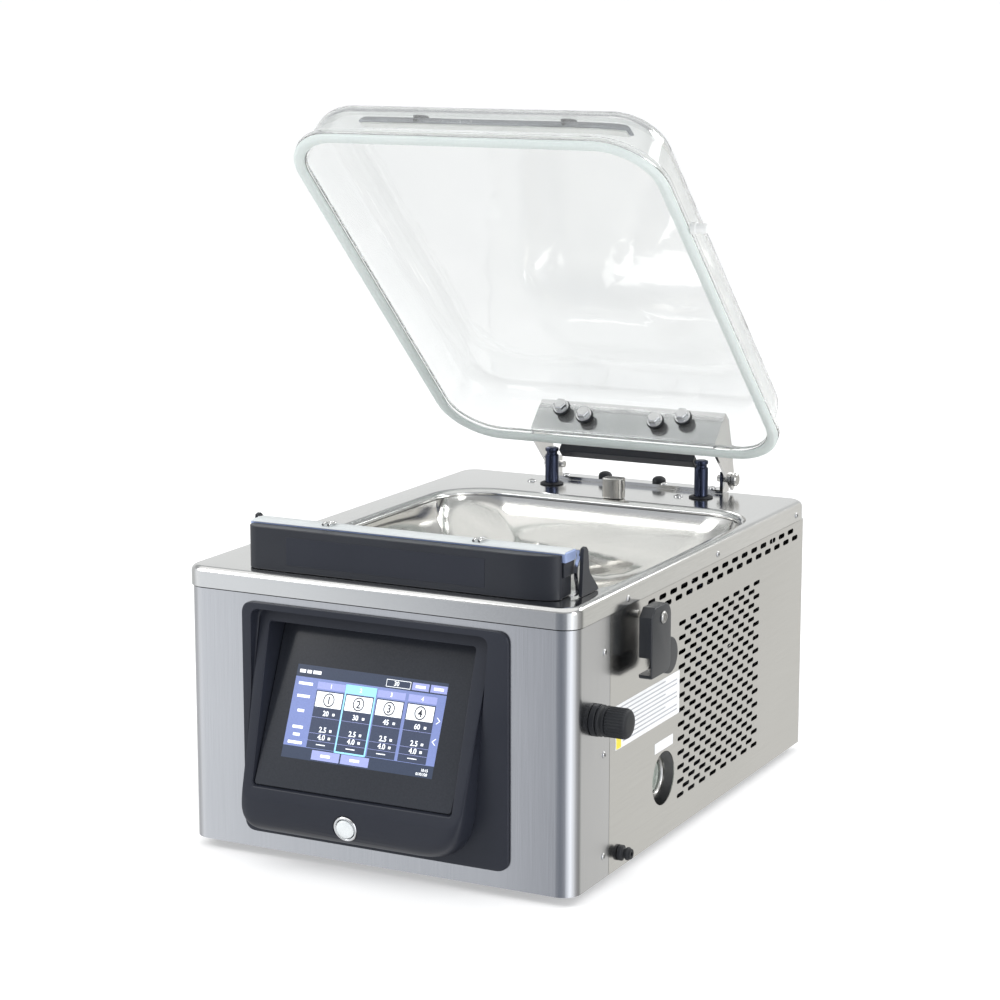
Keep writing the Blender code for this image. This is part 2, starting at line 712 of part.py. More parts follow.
def frame_y(z):
    return FRAME_LOW_Y + FRAME_SLOPE * (z - FRAME_LOW_Z)


def glass_y(z):
    return GLASS_LOW_Y + GLASS_SLOPE * (z - GLASS_LOW_Z)


def panel_quad(left, right_top, right_low, low, high):
    """Corners in order from the top left, clockwise as the user sees them, heights above the cabinet's foot."""
    low, high = FOOT_HEIGHT + low, FOOT_HEIGHT + high
    return [(left, high), (right_top, high), (right_low, low), (left, low)]


def build_control_panel():
    plate = [(-BEZEL_HALF, BEZEL_HIGH), (BEZEL_HALF, BEZEL_HIGH), (BEZEL_HALF, BEZEL_LOW), (-BEZEL_HALF, BEZEL_LOW)]

    def flat(corners, radii, y):
        return [(x, y, z) for x, z in round_quad(corners, radii)]

    def on_plane(corners, radii, level):
        return [(x, level(z), z) for x, z in round_quad(corners, radii)]

    shrink = 0.0014
    inner_plate = [(x * (1 - shrink / BEZEL_HALF), z + (shrink if z < 0.1 else -shrink)) for x, z in plate]
    fold = flat(panel_quad(-0.1085, 0.1005, 0.086, 0.0165, 0.1955), (0.008, 0.008, 0.045, 0.014), PLATE_FRONT)
    rim = on_plane(panel_quad(-0.1055, 0.0975, 0.0855, 0.0490, 0.1925), (0.006, 0.006, 0.012, 0.008), frame_y)
    swell = [tuple(a + (b - a) * share for a, b, share in zip(one, two, (0.28, 0.80, 0.28)))
             for one, two in zip(fold, rim)]
    recess_mouth = panel_quad(-0.0975, 0.0855, 0.0795, 0.0580, 0.1845)
    recess_floor = panel_quad(-0.0968, 0.0848, 0.0788, 0.0590, 0.1825)
    recess_back = panel_quad(RECESS_LEFT, RECESS_RIGHT, RECESS_RIGHT, RECESS_LOW, RECESS_HIGH)
    tight = (0.003, 0.003, 0.003, 0.003)
    wide = (0.010, 0.010, 0.010, 0.010)
    low_z, high_z = FOOT_HEIGHT + RECESS_LOW, FOOT_HEIGHT + RECESS_HIGH
    low_back, high_back = 0.0017, glass_y(high_z) + 0.0055
    rings = [
        on_plane(recess_back, tight,
                 lambda z: low_back + (high_back - low_back) * (z - low_z) / (high_z - low_z)),
        flat(recess_back, tight, -GAP),
        flat(plate, wide, -GAP),
        flat(plate, wide, PLATE_FRONT + 0.0010),
        flat(inner_plate, (0.0086,) * 4, PLATE_FRONT),
        fold,
        swell,
        rim,
        on_plane(recess_mouth, tight, frame_y),
        on_plane(recess_floor, tight, lambda z: glass_y(z) + 0.0020),
    ]
    bezel = loft("control_bezel", rings, black_plastic())
    glass_face = panel_quad(-0.0964, 0.0844, 0.0784, 0.0596, 0.1821)
    screen = material("screen_glass", (0.03, 0.035, 0.06), 0.08)
    front_ring = on_plane(glass_face, tight, glass_y)
    back_ring = on_plane(glass_face, tight, lambda z: glass_y(z) + 0.0020 - GAP)
    loft("touch_display", [front_ring, back_ring], screen)
    build_button(bezel)


def button_place(depth=0.0):
    """Local +Z points out of the chin. Depth is measured inwards from the chin's face."""
    face_y = -0.0240
    out = Vector((0, -math.cos(BUTTON_TILT), -math.sin(BUTTON_TILT)))
    return Vector((BUTTON_X, face_y, BUTTON_Z)) - out * depth, out


def build_button(bezel):
    for name, radius, depth in (("ring_seat", 0.0108, 0.0030), ("button_well", 0.0083, 0.0105)):
        inner, out = button_place(depth)
        cut(bezel, rod(name, inner, inner + out * (depth + 0.01), radius, tool=True, sides=28))
    seat, out = button_place(0.0027)
    chrome = material("chrome", (0.8, 0.8, 0.8), 0.08, 1.0)
    ring = ((0.0082, 0.0), (0.0104, 0.0), (0.0104, 0.0036), (0.0096, 0.0044), (0.0086, 0.0044), (0.0082, 0.0036))
    turned("button_ring", ring, seat, out, chrome, steps=28)
    well, out = button_place(0.0072)
    cap = ((0.0, 0.0), (0.0076, 0.0), (0.0076, 0.0088), (0.0066, 0.0098), (0.0, 0.0098))
    turned("start_button", cap, well, out, material("button_white", (0.8, 0.82, 0.82), 0.3),
           body="start_button", steps=28)


# --- Right-hand side fittings -----------------------------------------------------------------


def build_side_fittings():
    side = WIDTH / 2
    boss = ((0.0, 0.0), (0.0148, 0.0), (0.0148, 0.0060), (0.0134, 0.0072), (0.0, 0.0072))
    turned("latch_boss", boss, (side + GAP, 0.1625, FOOT_HEIGHT + 0.1530), (1, 0, 0), black_plastic(), steps=28)
    build_latch(side)
    stub = ((0.0, -0.010), (0.0080, -0.010), (0.0080, GAP), (0.0125, GAP), (0.0125, 0.0042), (0.0105, 0.0048),
            (0.0, 0.0048))
    turned("exhaust_stub", stub, (side, NOZZLE_Y, NOZZLE_Z), (1, 0, 0), black_plastic(), steps=24)
    cap = ((0.0, 0.0), (0.0122, 0.0), (0.0122, 0.0040), (0.0112, 0.0052), (0.0118, 0.0070), (0.0118, 0.0215),
           (0.0100, 0.0240), (0.0, 0.0240))
    turned("nozzle_cap", cap, (side + 0.0048 + GAP, NOZZLE_Y, NOZZLE_Z), (1, 0, 0), black_rubber(),
           body="nozzle_cap", steps=24)
    spigot = ((0.0, -0.006), (0.0038, -0.006), (0.0038, GAP), (0.0062, GAP), (0.0062, 0.0030), (0.0044, 0.0036),
              (0.0044, 0.0105), (0.0018, 0.0105), (0.0018, 0.0060), (0.0, 0.0060))
    turned("drain_spigot", spigot, (side, SPIGOT_Y, SPIGOT_Z), (1, 0, 0), black_rubber(), steps=16)


def build_latch(side):
    """The lid lock: a lever that swings up over the pin on the lid, drawn hanging down."""
    inner, outer = side + 0.0078, side + 0.0190
    front, rear = 0.0990, 0.1360
    low, high = FOOT_HEIGHT + 0.1490, FOOT_HEIGHT + 0.2045
    notch_low, notch_high, notch_r = low + 0.0032, low + 0.0168, 0.0068
    outline = [(front, notch_high), (front, high - 0.007), (front + 0.007, high)]
    outline += arc((rear - 0.011, high - 0.011), 0.011, 90, 0, 5)
    outline += arc((rear - 0.009, low + 0.009), 0.009, 0, -90, 4)
    outline += [(front + 0.002, low), (front, low + 0.0015), (front, notch_low), (front + 0.0165, notch_low)]
    outline += arc((front + 0.0165, notch_low + notch_r), notch_r, -90, 90, 5)[1:-1]
    outline += [(front + 0.0165, notch_high)]
    place = Matrix.Translation(((inner + outer) / 2, 0, 0)) @ FACING_X
    lever = outline_plate("latch_lever", outline, outer - inner, place, black_plastic(), "latch_lever")
    cut(lever, rod("pivot_bore", (inner - 0.01, LATCH_Y, LATCH_Z), (outer + 0.01, LATCH_Y, LATCH_Z), 0.0034,
                   tool=True, body="latch_lever"))
    screw = ((0.0, GAP), (0.0031, GAP), (0.0031, outer - side + GAP), (0.0058, outer - side + GAP),
             (0.0058, outer - side + 0.0012), (0.0046, outer - side + 0.0020), (0.0, outer - side + 0.0020))
    turned("latch_screw", screw, (side, LATCH_Y, LATCH_Z), (1, 0, 0), polished(), steps=16)


# --- Inside the cabinet -----------------------------------------------------------------------


def build_inside():
    floor = FOOT_HEIGHT + 0.0015 + GAP
    box("vacuum_pump", (0.060, 0.105, floor), (0.155, 0.235, 0.112), cast_metal(), bevel=0.006)
    sight = ((0.0, 0.0), (0.0200, 0.0), (0.0200, 0.0080), (0.0165, 0.0080), (0.0155, 0.0065), (0.0, 0.0065))
    turned("oil_sight_glass", sight, (0.155 + GAP, SIGHT_Y, SIGHT_Z), (1, 0, 0),
           material("sight_glass", (0.6, 0.62, 0.6), 0.2), steps=24)
    rod("pump_motor", (0.0595, 0.170, 0.064), (-0.060, 0.170, 0.064), 0.045, cast_metal(), sides=28)
    box("transformer", (-0.150, 0.250, floor), (-0.070, 0.330, 0.085),
        material("transformer_iron", (0.10, 0.10, 0.11), 0.5), bevel=0.003)
    box("control_board", (-0.150, 0.075, 0.040), (-0.1475, 0.225, 0.140),
        material("circuit_board", (0.02, 0.16, 0.06), 0.5))
    chamber_under = DECK_Z - LIP_DROP - GAP - 0.0895
    hose = [(0.0165, 0.300, chamber_under - 0.0020), (0.0165, 0.300, chamber_under - 0.030),
            (0.022, 0.303, 0.078), (0.042, 0.306, 0.064), (0.075, 0.306, 0.057), (0.096, 0.296, 0.055),
            (0.105, 0.272, 0.055), (0.105, 0.2355, 0.055)]
    wire("vacuum_hose", hose, 0.008, black_rubber(), sides=2)
    rim = ((0.0330, 0.0), (0.0360, 0.0), (0.0360, 0.018), (0.0330, 0.018))
    turned("fan_ring", rim, (0.070, DEPTH - SHEET - GAP, 0.110), (0, -1, 0), black_plastic(), steps=28)
    build_fan_rotor(Vector((0.070, DEPTH - SHEET - GAP, 0.110)))
    inlet = box("power_inlet", (-0.1115, 0.4600, 0.0385), (-0.0825, DEPTH + 0.0015, 0.0595), black_plastic(),
                bevel=0.001, segments=1)
    cut(inlet, box("plug_socket", (-0.1090, 0.4660, 0.0410), (-0.0850, DEPTH + 0.01, 0.0570), tool=True))


def build_fan_rotor(centre):
    """A hub with seven blades, as one star outline extruded along the fan's axis."""
    blades = 7
    hub, tip = 0.012, 0.0315
    outline = []
    for blade in range(blades):
        angle = 360 / blades * blade
        outline += arc((0, 0), tip, angle, angle + 20, 2)
        outline += arc((0, 0), hub, angle + 30, angle + 360 / blades - 6, 2)
    place = Matrix.Translation(centre + Vector((0, -0.0095, 0))) @ Matrix.Rotation(math.radians(90), 4, "X")
    outline_plate("fan_rotor", outline, 0.010, place, black_plastic(), "fan_rotor")


def build():
    add_pivot("machine", (-BOX_MIDDLE_X, -BOX_MIDDLE_Y, 0))
    add_pivot("lid", (HINGE_X, HINGE_Y, HINGE_Z), -LID_OPEN)
    for side, sign in (("left", -1), ("right", 1)):
        add_pivot(f"strut_{side}", (HINGE_X + sign * ROD_OFFSET, ROD_Y, DECK_Z))
    for side, x in zip(("left", "right"), CLIP_XS):
        add_pivot(f"clip_{side}", (x, BAR_FRONT - 0.0004, SEAL_TOP + 0.0012))
    add_pivot("seal_bar", (SEAL_X, (BAR_FRONT + BAR_REAR) / 2, SEAL_TOP))
    add_pivot("start_button", button_place()[0])
    add_pivot("latch_lever", (WIDTH / 2, LATCH_Y, LATCH_Z))
    add_pivot("nozzle_cap", (WIDTH / 2, NOZZLE_Y, NOZZLE_Z))
    add_pivot("suction_cover", (0.0165, 0.4045, DECK_Z))
    add_pivot("fan_rotor", (0.070, DEPTH, 0.110))
    build_base()
    build_front_panel()
    build_side_covers()
    build_deck()
    build_basin()
    build_lid()
    build_hinge()
    build_seal_unit()
    build_suction_cover()
    build_control_panel()
    build_side_fittings()
    build_inside()
    bpy.context.view_layer.update()


build()
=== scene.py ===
"""The looks of a table-top chamber vacuum packing machine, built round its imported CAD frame.

Pieces are drawn in design coordinates, in metres: x = 0 in the middle of the cabinet, y = 0 on
its front sheet, z = 0 under the feet. piece() moves them to the frame's own origin. What belongs
to the lid is drawn closed and then turned open about the hinge, like the CAD lid.
"""

import json
import math

import bmesh
import bpy
from mathutils import Matrix, Vector


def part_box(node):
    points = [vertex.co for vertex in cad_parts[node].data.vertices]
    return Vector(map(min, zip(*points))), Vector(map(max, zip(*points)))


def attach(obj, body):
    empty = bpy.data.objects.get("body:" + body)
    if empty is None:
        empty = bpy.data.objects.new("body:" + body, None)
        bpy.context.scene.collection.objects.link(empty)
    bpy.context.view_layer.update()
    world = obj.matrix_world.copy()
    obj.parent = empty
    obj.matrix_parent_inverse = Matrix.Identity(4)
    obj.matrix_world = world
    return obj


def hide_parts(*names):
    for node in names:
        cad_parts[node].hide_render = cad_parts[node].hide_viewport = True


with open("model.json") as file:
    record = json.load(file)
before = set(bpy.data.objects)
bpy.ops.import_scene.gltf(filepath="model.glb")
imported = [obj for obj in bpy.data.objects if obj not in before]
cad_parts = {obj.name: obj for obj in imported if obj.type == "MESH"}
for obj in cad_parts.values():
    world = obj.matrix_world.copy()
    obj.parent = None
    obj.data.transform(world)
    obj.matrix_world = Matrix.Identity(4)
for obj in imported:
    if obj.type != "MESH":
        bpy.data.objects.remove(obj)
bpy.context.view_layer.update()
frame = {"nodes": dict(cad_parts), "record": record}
NODES = frame["nodes"]
JOINTS = {joint["name"]: joint for joint in frame["record"]["behaviour"]["joints"]}

# --- Places and sizes, from the frame ---

PANEL_LOW, PANEL_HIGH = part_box("front_panel")
ORIGIN = Vector(((PANEL_LOW[0] + PANEL_HIGH[0]) / 2, PANEL_LOW[1], 0.0))


def design_box(node):
    """A CAD node's box at rest, in design coordinates."""
    low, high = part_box(node)
    return Vector(low) - ORIGIN, Vector(high) - ORIGIN


LID_OPEN = math.radians(JOINTS["lid_hinge"]["range_deg"][1])
HINGE = Vector(JOINTS["lid_hinge"]["pos_m"]) - ORIGIN
LID_TURN = Matrix.Translation(HINGE) @ Matrix.Rotation(-LID_OPEN, 4, "X") @ Matrix.Translation(-HINGE)


def closed_box(node):
    """The box of a node of the lid in design coordinates, with the lid closed."""
    back = LID_TURN.inverted()
    points = [back @ (vertex.co - ORIGIN) for vertex in NODES[node].data.vertices]
    low = Vector([min(point[axis] for point in points) for axis in range(3)])
    high = Vector([max(point[axis] for point in points) for axis in range(3)])
    return low, high


DECK_LOW, DECK_HIGH = design_box("deck")
HALF_WIDTH = (PANEL_HIGH[0] - PANEL_LOW[0]) / 2
DEPTH = design_box("rear_panel")[1].y
DECK_Z = DECK_HIGH.z
SEAM_Z = design_box("front_panel")[1].z
CABINET_LOW = design_box("front_panel")[0].z
SHEET, SIDE_SHEET, DECK_SHEET, BOWL_SHEET = 0.0012, 0.0008, 0.0015, 0.0010
SEAM_SHADOW = 0.0008                         # the dark line between the sheets and the deck
GAP = 0.0003
CORNER_R = 0.015
RETURN_Y = design_box("front_panel")[1].y    # where the front sheet's folded sides end
RIGHT, FORWARD, BACKWARD, UP = (1, 0, 0), (0, -1, 0), (0, 1, 0), (0, 0, 1)

# The chamber's opening in the deck: x low, x high, y low, y high
BASIN_LOW, BASIN_HIGH = design_box("chamber_basin")
BASIN_FLANGE = 0.008
CHAMBER = (BASIN_LOW.x + BASIN_FLANGE, BASIN_HIGH.x - BASIN_FLANGE,
           BASIN_LOW.y + BASIN_FLANGE, BASIN_HIGH.y - BASIN_FLANGE)
CHAMBER_R = 0.046
LIP_DROP = DECK_Z - BASIN_HIGH.z


# --- Materials ---


def add_node(tree, kind, **values):
    """A new shader node with constants set on its input sockets."""
    made = tree.nodes.new("ShaderNode" + kind)
    for socket, value in values.items():
        made.inputs[socket.replace("_", " ")].default_value = value
    return made


def new_material(name):
    """A material: the material, its nodes, its shader and the object's coordinates."""
    made = bpy.data.materials.new(name)
    made.use_nodes = True
    tree = made.node_tree
    return made, tree, tree.nodes["Principled BSDF"], add_node(tree, "TexCoord").outputs["Object"]


def colour_ramp(tree, share, start, dark, end, light):
    """The colours between dark and light, by a share that runs from start to end."""
    tones = add_node(tree, "ValToRGB")
    for stop, place, colour in zip(tones.color_ramp.elements, (start, end), (dark, light)):
        stop.position = place
        stop.color = (*colour, 1)
    tree.links.new(share, tones.inputs["Fac"])
    return tones.outputs["Color"]


NOISE_LOW, NOISE_HIGH = 0.3, 0.7


def look(name, slot, dark, light, rough, metallic=0.0, stretch=(1, 1, 1), grain=1500.0, cloud=9.0,
         bump=0.05, depth=0.0001, **sockets):
    """A procedural surface: slow colour clouds, fine grain in colour, roughness and height.

    dark and light are the two ends of the colour, rough the two ends of the roughness. stretch
    scales the grain's coordinates, so that a small number draws it out along that axis.
    """
    made, tree, shader, place = new_material(name)
    link = tree.links.new
    for socket, value in {"Metallic": metallic, **sockets}.items():
        shader.inputs[socket.replace("_", " ")].default_value = value
    mapping = add_node(tree, "Mapping", Scale=stretch)
    link(place, mapping.inputs["Vector"])
    fine = add_node(tree, "TexNoise", Scale=grain, Detail=3)
    link(mapping.outputs["Vector"], fine.inputs["Vector"])
    slow = add_node(tree, "TexNoise", Scale=cloud, Detail=2)
    link(place, slow.inputs["Vector"])
    half, share = add_node(tree, "Math"), add_node(tree, "Math")
    half.operation, share.operation = "MULTIPLY", "MULTIPLY_ADD"
    half.inputs[1].default_value = share.inputs[1].default_value = 0.5
    link(slow.outputs["Fac"], half.inputs[0])
    link(fine.outputs["Fac"], share.inputs[0])
    link(half.outputs[0], share.inputs[2])
    link(colour_ramp(tree, share.outputs[0], NOISE_LOW, dark, NOISE_HIGH, light), shader.inputs["Base Color"])
    gloss = add_node(tree, "MapRange", From_Min=NOISE_LOW, From_Max=NOISE_HIGH,
                     To_Min=rough[0], To_Max=rough[1])
    link(share.outputs[0], gloss.inputs["Value"])
    link(gloss.outputs["Result"], shader.inputs["Roughness"])
    height = add_node(tree, "Bump", Strength=bump, Distance=depth)
    link(fine.outputs["Fac"], height.inputs["Height"])
    link(height.outputs["Normal"], shader.inputs["Normal"])
    return made


FRONT_STEEL = look("front_steel", "brushed_steel", (0.58, 0.585, 0.60), (0.68, 0.683, 0.70), (0.20, 0.27),
    1.0, stretch=(1, 1, 0.012), grain=1800.0, cloud=6.0, bump=0.10)
SIDE_STEEL = look("side_steel", "polished_steel", (0.62, 0.615, 0.60), (0.70, 0.695, 0.68), (0.17, 0.23),
    1.0, stretch=(1, 0.015, 1), cloud=5.0, bump=0.05)
DECK_STEEL = look("deck_steel", "polished_steel", (0.66, 0.66, 0.65), (0.76, 0.76, 0.75), (0.13, 0.19), 1.0,
    stretch=(1, 0.05, 1), grain=1200.0, cloud=7.0, bump=0.03)
BOWL_STEEL = look("bowl_steel", "polished_steel", (0.70, 0.69, 0.66), (0.80, 0.79, 0.76), (0.10, 0.16), 1.0,
    grain=700.0, cloud=12.0, bump=0.03)
BRIGHT_STEEL = look("bright_steel", "polished_steel", (0.66, 0.66, 0.66), (0.80, 0.80, 0.80), (0.08, 0.16),
    1.0, cloud=30.0, bump=0.03)
SATIN_STEEL = look("satin_steel", "polished_steel", (0.46, 0.455, 0.44), (0.60, 0.595, 0.58), (0.22, 0.34),
    1.0, stretch=(1, 1, 0.05), grain=2500.0, cloud=30.0, bump=0.12)
CHAMPAGNE_STEEL = look("cover_steel", "polished_steel", (0.50, 0.49, 0.465), (0.60, 0.59, 0.565),
    (0.22, 0.30), 1.0, stretch=(1, 1, 0.10), grain=1400.0, cloud=20.0, bump=0.04)
PAN_STEEL = look("pan_steel", "brushed_steel", (0.42, 0.42, 0.43), (0.55, 0.55, 0.56), (0.35, 0.50), 1.0,
    stretch=(1, 0.02, 1), bump=0.10)
CHROME = look("chrome_plate", "chrome", (0.78, 0.78, 0.79), (0.88, 0.88, 0.88), (0.04, 0.09), 1.0,
    cloud=60.0, bump=0.02)
BLACK = look("black_moulding", "black_plastic", (0.015, 0.017, 0.024), (0.027, 0.030, 0.038), (0.30, 0.42),
    grain=2600.0, cloud=14.0, bump=0.10, depth=0.0002, Specular_IOR_Level=0.42)
BEZEL_BLACK = look("bezel_moulding", "black_plastic", (0.016, 0.019, 0.029), (0.026, 0.029, 0.041),
    (0.34, 0.44), grain=2800.0, cloud=10.0, bump=0.08, depth=0.0002, Specular_IOR_Level=0.38)
LATCH_BLACK = look("latch_moulding", "black_plastic", (0.020, 0.022, 0.026), (0.034, 0.037, 0.042),
    (0.28, 0.40), grain=2000.0, cloud=20.0, bump=0.10, depth=0.0002, Specular_IOR_Level=0.42)
RUBBER = look("soft_rubber", "black_rubber", (0.010, 0.011, 0.014), (0.022, 0.024, 0.028), (0.42, 0.58),
    grain=1800.0, cloud=25.0, bump=0.18, depth=0.0003, Specular_IOR_Level=0.40)
ROD_METAL = look("rod_metal", "dark_metal", (0.030, 0.036, 0.062), (0.060, 0.070, 0.110), (0.14, 0.22), 1.0,
    stretch=(1, 1, 0.03), grain=2200.0, cloud=30.0, bump=0.05)
CAST = look("cast_housing", "cast_aluminium", (0.30, 0.31, 0.32), (0.44, 0.45, 0.46), (0.45, 0.62), 0.9,
    grain=500.0, cloud=30.0, bump=0.35, depth=0.0006)
IRON = look("transformer_plates", "transformer_iron", (0.06, 0.06, 0.065), (0.12, 0.12, 0.13), (0.45, 0.60),
    0.4, stretch=(1, 1, 20), grain=60.0, bump=0.30, depth=0.0004)
BOARD = look("board_mask", "circuit_board", (0.010, 0.10, 0.035), (0.020, 0.17, 0.06), (0.35, 0.50),
    grain=400.0, cloud=60.0, bump=0.10, depth=0.0002)
ACRYLIC = look("clear_acrylic_lid", "clear_acrylic", (0.88, 0.895, 0.89), (0.935, 0.945, 0.94),
    (0.01, 0.04), grain=14.0, cloud=5.0, bump=0.10, depth=0.006, Transmission_Weight=0.94, IOR=1.47)
SILICONE = look("silicone_seal", "gasket_silicone", (0.76, 0.83, 0.81), (0.87, 0.92, 0.90), (0.30, 0.44),
    grain=700.0, cloud=16.0, bump=0.06, depth=0.0003, Transmission_Weight=0.25, IOR=1.40)
WHITE_PIN = look("white_nylon", "white_plastic", (0.74, 0.75, 0.74), (0.86, 0.87, 0.86), (0.28, 0.40),
    cloud=40.0, bump=0.05, depth=0.0002)
SMOKE = look("smoked_bar", "smoked_plastic", (0.52, 0.55, 0.60), (0.66, 0.69, 0.74), (0.18, 0.30),
    grain=900.0, cloud=12.0, bump=0.05, depth=0.0003, Transmission_Weight=0.65, IOR=1.42)
PAD = look("pressing_silicone", "white_silicone", (0.70, 0.71, 0.69), (0.82, 0.83, 0.81), (0.45, 0.60),
    grain=900.0, cloud=20.0, bump=0.10, depth=0.0003)
BAR_BLUE = look("anodised_blue", "seal_bar_blue", (0.26, 0.35, 0.62), (0.42, 0.51, 0.76), (0.26, 0.40),
    0.35, stretch=(0.05, 1, 1), grain=1200.0, cloud=10.0, bump=0.08)
TAPE = look("woven_tape", "white_silicone", (0.68, 0.72, 0.73), (0.82, 0.85, 0.85), (0.30, 0.42),
    grain=2600.0, cloud=12.0, bump=0.20, depth=0.0002)
GLASS = look("screen_glass_face", "screen_glass", (0.020, 0.023, 0.030), (0.030, 0.033, 0.042),
    (0.14, 0.22), grain=700.0, cloud=6.0, bump=0.02, Specular_IOR_Level=0.42)
BUTTON = look("button_cap", "button_white", (0.78, 0.82, 0.83), (0.90, 0.93, 0.93), (0.22, 0.34),
    grain=1200.0, cloud=60.0, bump=0.04, depth=0.0002)
SIGHT = look("sight_window", "sight_glass", (0.34, 0.40, 0.36), (0.62, 0.66, 0.60), (0.06, 0.16),
    grain=300.0, cloud=90.0, bump=0.10, depth=0.0003, Transmission_Weight=0.35, IOR=1.5)
LABEL = look("blank_label", "white_plastic", (0.80, 0.81, 0.83), (0.90, 0.91, 0.92), (0.40, 0.52),
    cloud=30.0, bump=0.03)
LABEL_YELLOW = look("label_yellow", "white_plastic", (0.78, 0.66, 0.03), (0.88, 0.76, 0.06), (0.40, 0.52),
    cloud=30.0, bump=0.03)
LABEL_GREY = look("label_grey", "white_plastic", (0.36, 0.37, 0.40), (0.48, 0.49, 0.52), (0.40, 0.52),
    cloud=30.0, bump=0.03)
ORANGE = look("oil_mark", "white_plastic", (0.62, 0.16, 0.06), (0.78, 0.26, 0.12), (0.40, 0.52), cloud=30.0,
    bump=0.03)


def lit(name, colour, strength):
    """A lit part of the display: an even glow with the faint grid of its dots."""
    made, tree, shader, place = new_material(name)
    shader.inputs["Roughness"].default_value = 0.25
    shader.inputs["Emission Strength"].default_value = strength
    dots = add_node(tree, "TexNoise", Scale=900.0)
    tree.links.new(place, dots.inputs["Vector"])
    dim = [part * 0.86 for part in colour]
    bright = [min(1.0, part * 1.10) for part in colour]
    tones = colour_ramp(tree, dots.outputs["Fac"], 0.0, dim, 1.0, bright)
    tree.links.new(tones, shader.inputs["Base Color"])
    tree.links.new(tones, shader.inputs["Emission Color"])
    return made


# --- Mesh helpers ---

LID_PARTS = "lid"


def mesh_of(name, shape):
    """A mesh made from a bmesh, which is freed."""
    data = bpy.data.meshes.new(name)
    shape.to_mesh(data)
    shape.free()
    return data


def to_scene(name, data):
    made = bpy.data.objects.new(name, data)
    bpy.context.scene.collection.objects.link(made)
    return made


def piece(name, shape, surface, body="cabinet", stands_for=(), bevel=0.0, sharp=38, segments=3):
    """A finished piece from a bmesh in design coordinates. What rides on the lid is turned open."""
    for face in shape.faces:
        face.smooth = True
    for edge in shape.edges:
        if len(edge.link_faces) == 2 and edge.calc_face_angle(0.0) > math.radians(sharp):
            edge.smooth = False
    move = Matrix.Translation(ORIGIN) @ (LID_TURN if body == LID_PARTS else Matrix.Identity(4))
    bmesh.ops.transform(shape, matrix=move, verts=shape.verts)
    made = to_scene(name, mesh_of(name, shape))
    made.data.materials.append(surface)
    if bevel:
        rounding = made.modifiers.new("rounded", "BEVEL")
        rounding.width = bevel
        rounding.segments = segments
        rounding.limit_method = "ANGLE"
        rounding.angle_limit = math.radians(sharp)
        rounding.harden_normals = True
    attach(made, body)
    if stands_for:
        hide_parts(*stands_for)
    return made


def arc(centre, radius, start, end, steps):
    """Points of an arc between two angles in degrees."""
    points = []
    for step in range(steps + 1):
        angle = math.radians(start + (end - start) * step / steps)
        points.append((centre[0] + radius * math.cos(angle), centre[1] + radius * math.sin(angle)))
    return points


def round_rect(low_x, high_x, low_y, high_y, radius, steps=12):
    points = []
    for x, y, angle in ((high_x, high_y, 0), (low_x, high_y, 90), (low_x, low_y, 180), (high_x, low_y, 270)):
        centre = (x - radius if x == high_x else x + radius, y - radius if y == high_y else y + radius)
        points += arc(centre, radius, angle, angle + 90, steps)
    return points


def corners_of(x0, y0, x1, y1):
    return [(x0, y0), (x1, y0), (x1, y1), (x0, y1)]


def fillet(corners, radii, steps=6, closed=True):
    """An outline with each corner rounded by its own radius, as a curve tangent to both sides."""
    points = []
    count = len(corners)
    if not hasattr(radii, "__len__"):
        radii = [radii] * count
    for index, radius in enumerate(radii):
        corner = Vector(corners[index])
        if radius == 0 or (not closed and index in (0, count - 1)):
            points.append(tuple(corner))
            continue
        back = Vector(corners[index - 1]) - corner
        ahead = Vector(corners[(index + 1) % count]) - corner
        half = back.angle(ahead) / 2
        reach = min(radius / math.tan(half), back.length * 0.49, ahead.length * 0.49)
        one, two = corner + back.normalized() * reach, corner + ahead.normalized() * reach
        for step in range(steps + 1):
            t = step / steps
            points.append(tuple(one * (1 - t) ** 2 + corner * 2 * t * (1 - t) + two * t * t))
    return points


def soften(rings, radii, steps=4):
    """Rounds the crease at chosen rings of a loft. radii maps a ring's index to its radius."""
    made = []
    for index, ring in enumerate(rings):
        radius = radii.get(index)
        if not radius:
            made.append([Vector(point) for point in ring])
            continue
        before, after = rings[index - 1], rings[(index + 1) % len(rings)]
        for step in range(steps + 1):
            t = step / steps
            row = []
            for point, back, ahead in zip(ring, before, after):
                point = Vector(point)
                back, ahead = Vector(back) - point, Vector(ahead) - point
                one = point + back * min(0.48, radius / max(back.length, 1e-9))
                two = point + ahead * min(0.48, radius / max(ahead.length, 1e-9))
                row.append(one * (1 - t) ** 2 + point * 2 * t * (1 - t) + two * t * t)
            made.append(row)
    return made


def loft(rings, caps=True, loop=False):
    """A skin over rings with the same number of points, closed by caps or back onto its first ring."""
    shape = bmesh.new()
    rows = [[shape.verts.new(point) for point in ring] for ring in rings]
    pairs = list(zip(rows, rows[1:]))
    if loop:
        pairs.append((rows[-1], rows[0]))
    for one, two in pairs:
        for index in range(len(one)):
            after = (index + 1) % len(one)
            shape.faces.new((one[index], one[after], two[after], two[index]))
    if caps and not loop:
        shape.faces.new(rows[0])
        shape.faces.new(rows[-1])
    bmesh.ops.recalc_face_normals(shape, faces=shape.faces)
    return shape


def axis_turn(axis):
    return Vector((0, 0, 1)).rotation_difference(Vector(axis)).to_matrix().to_4x4()


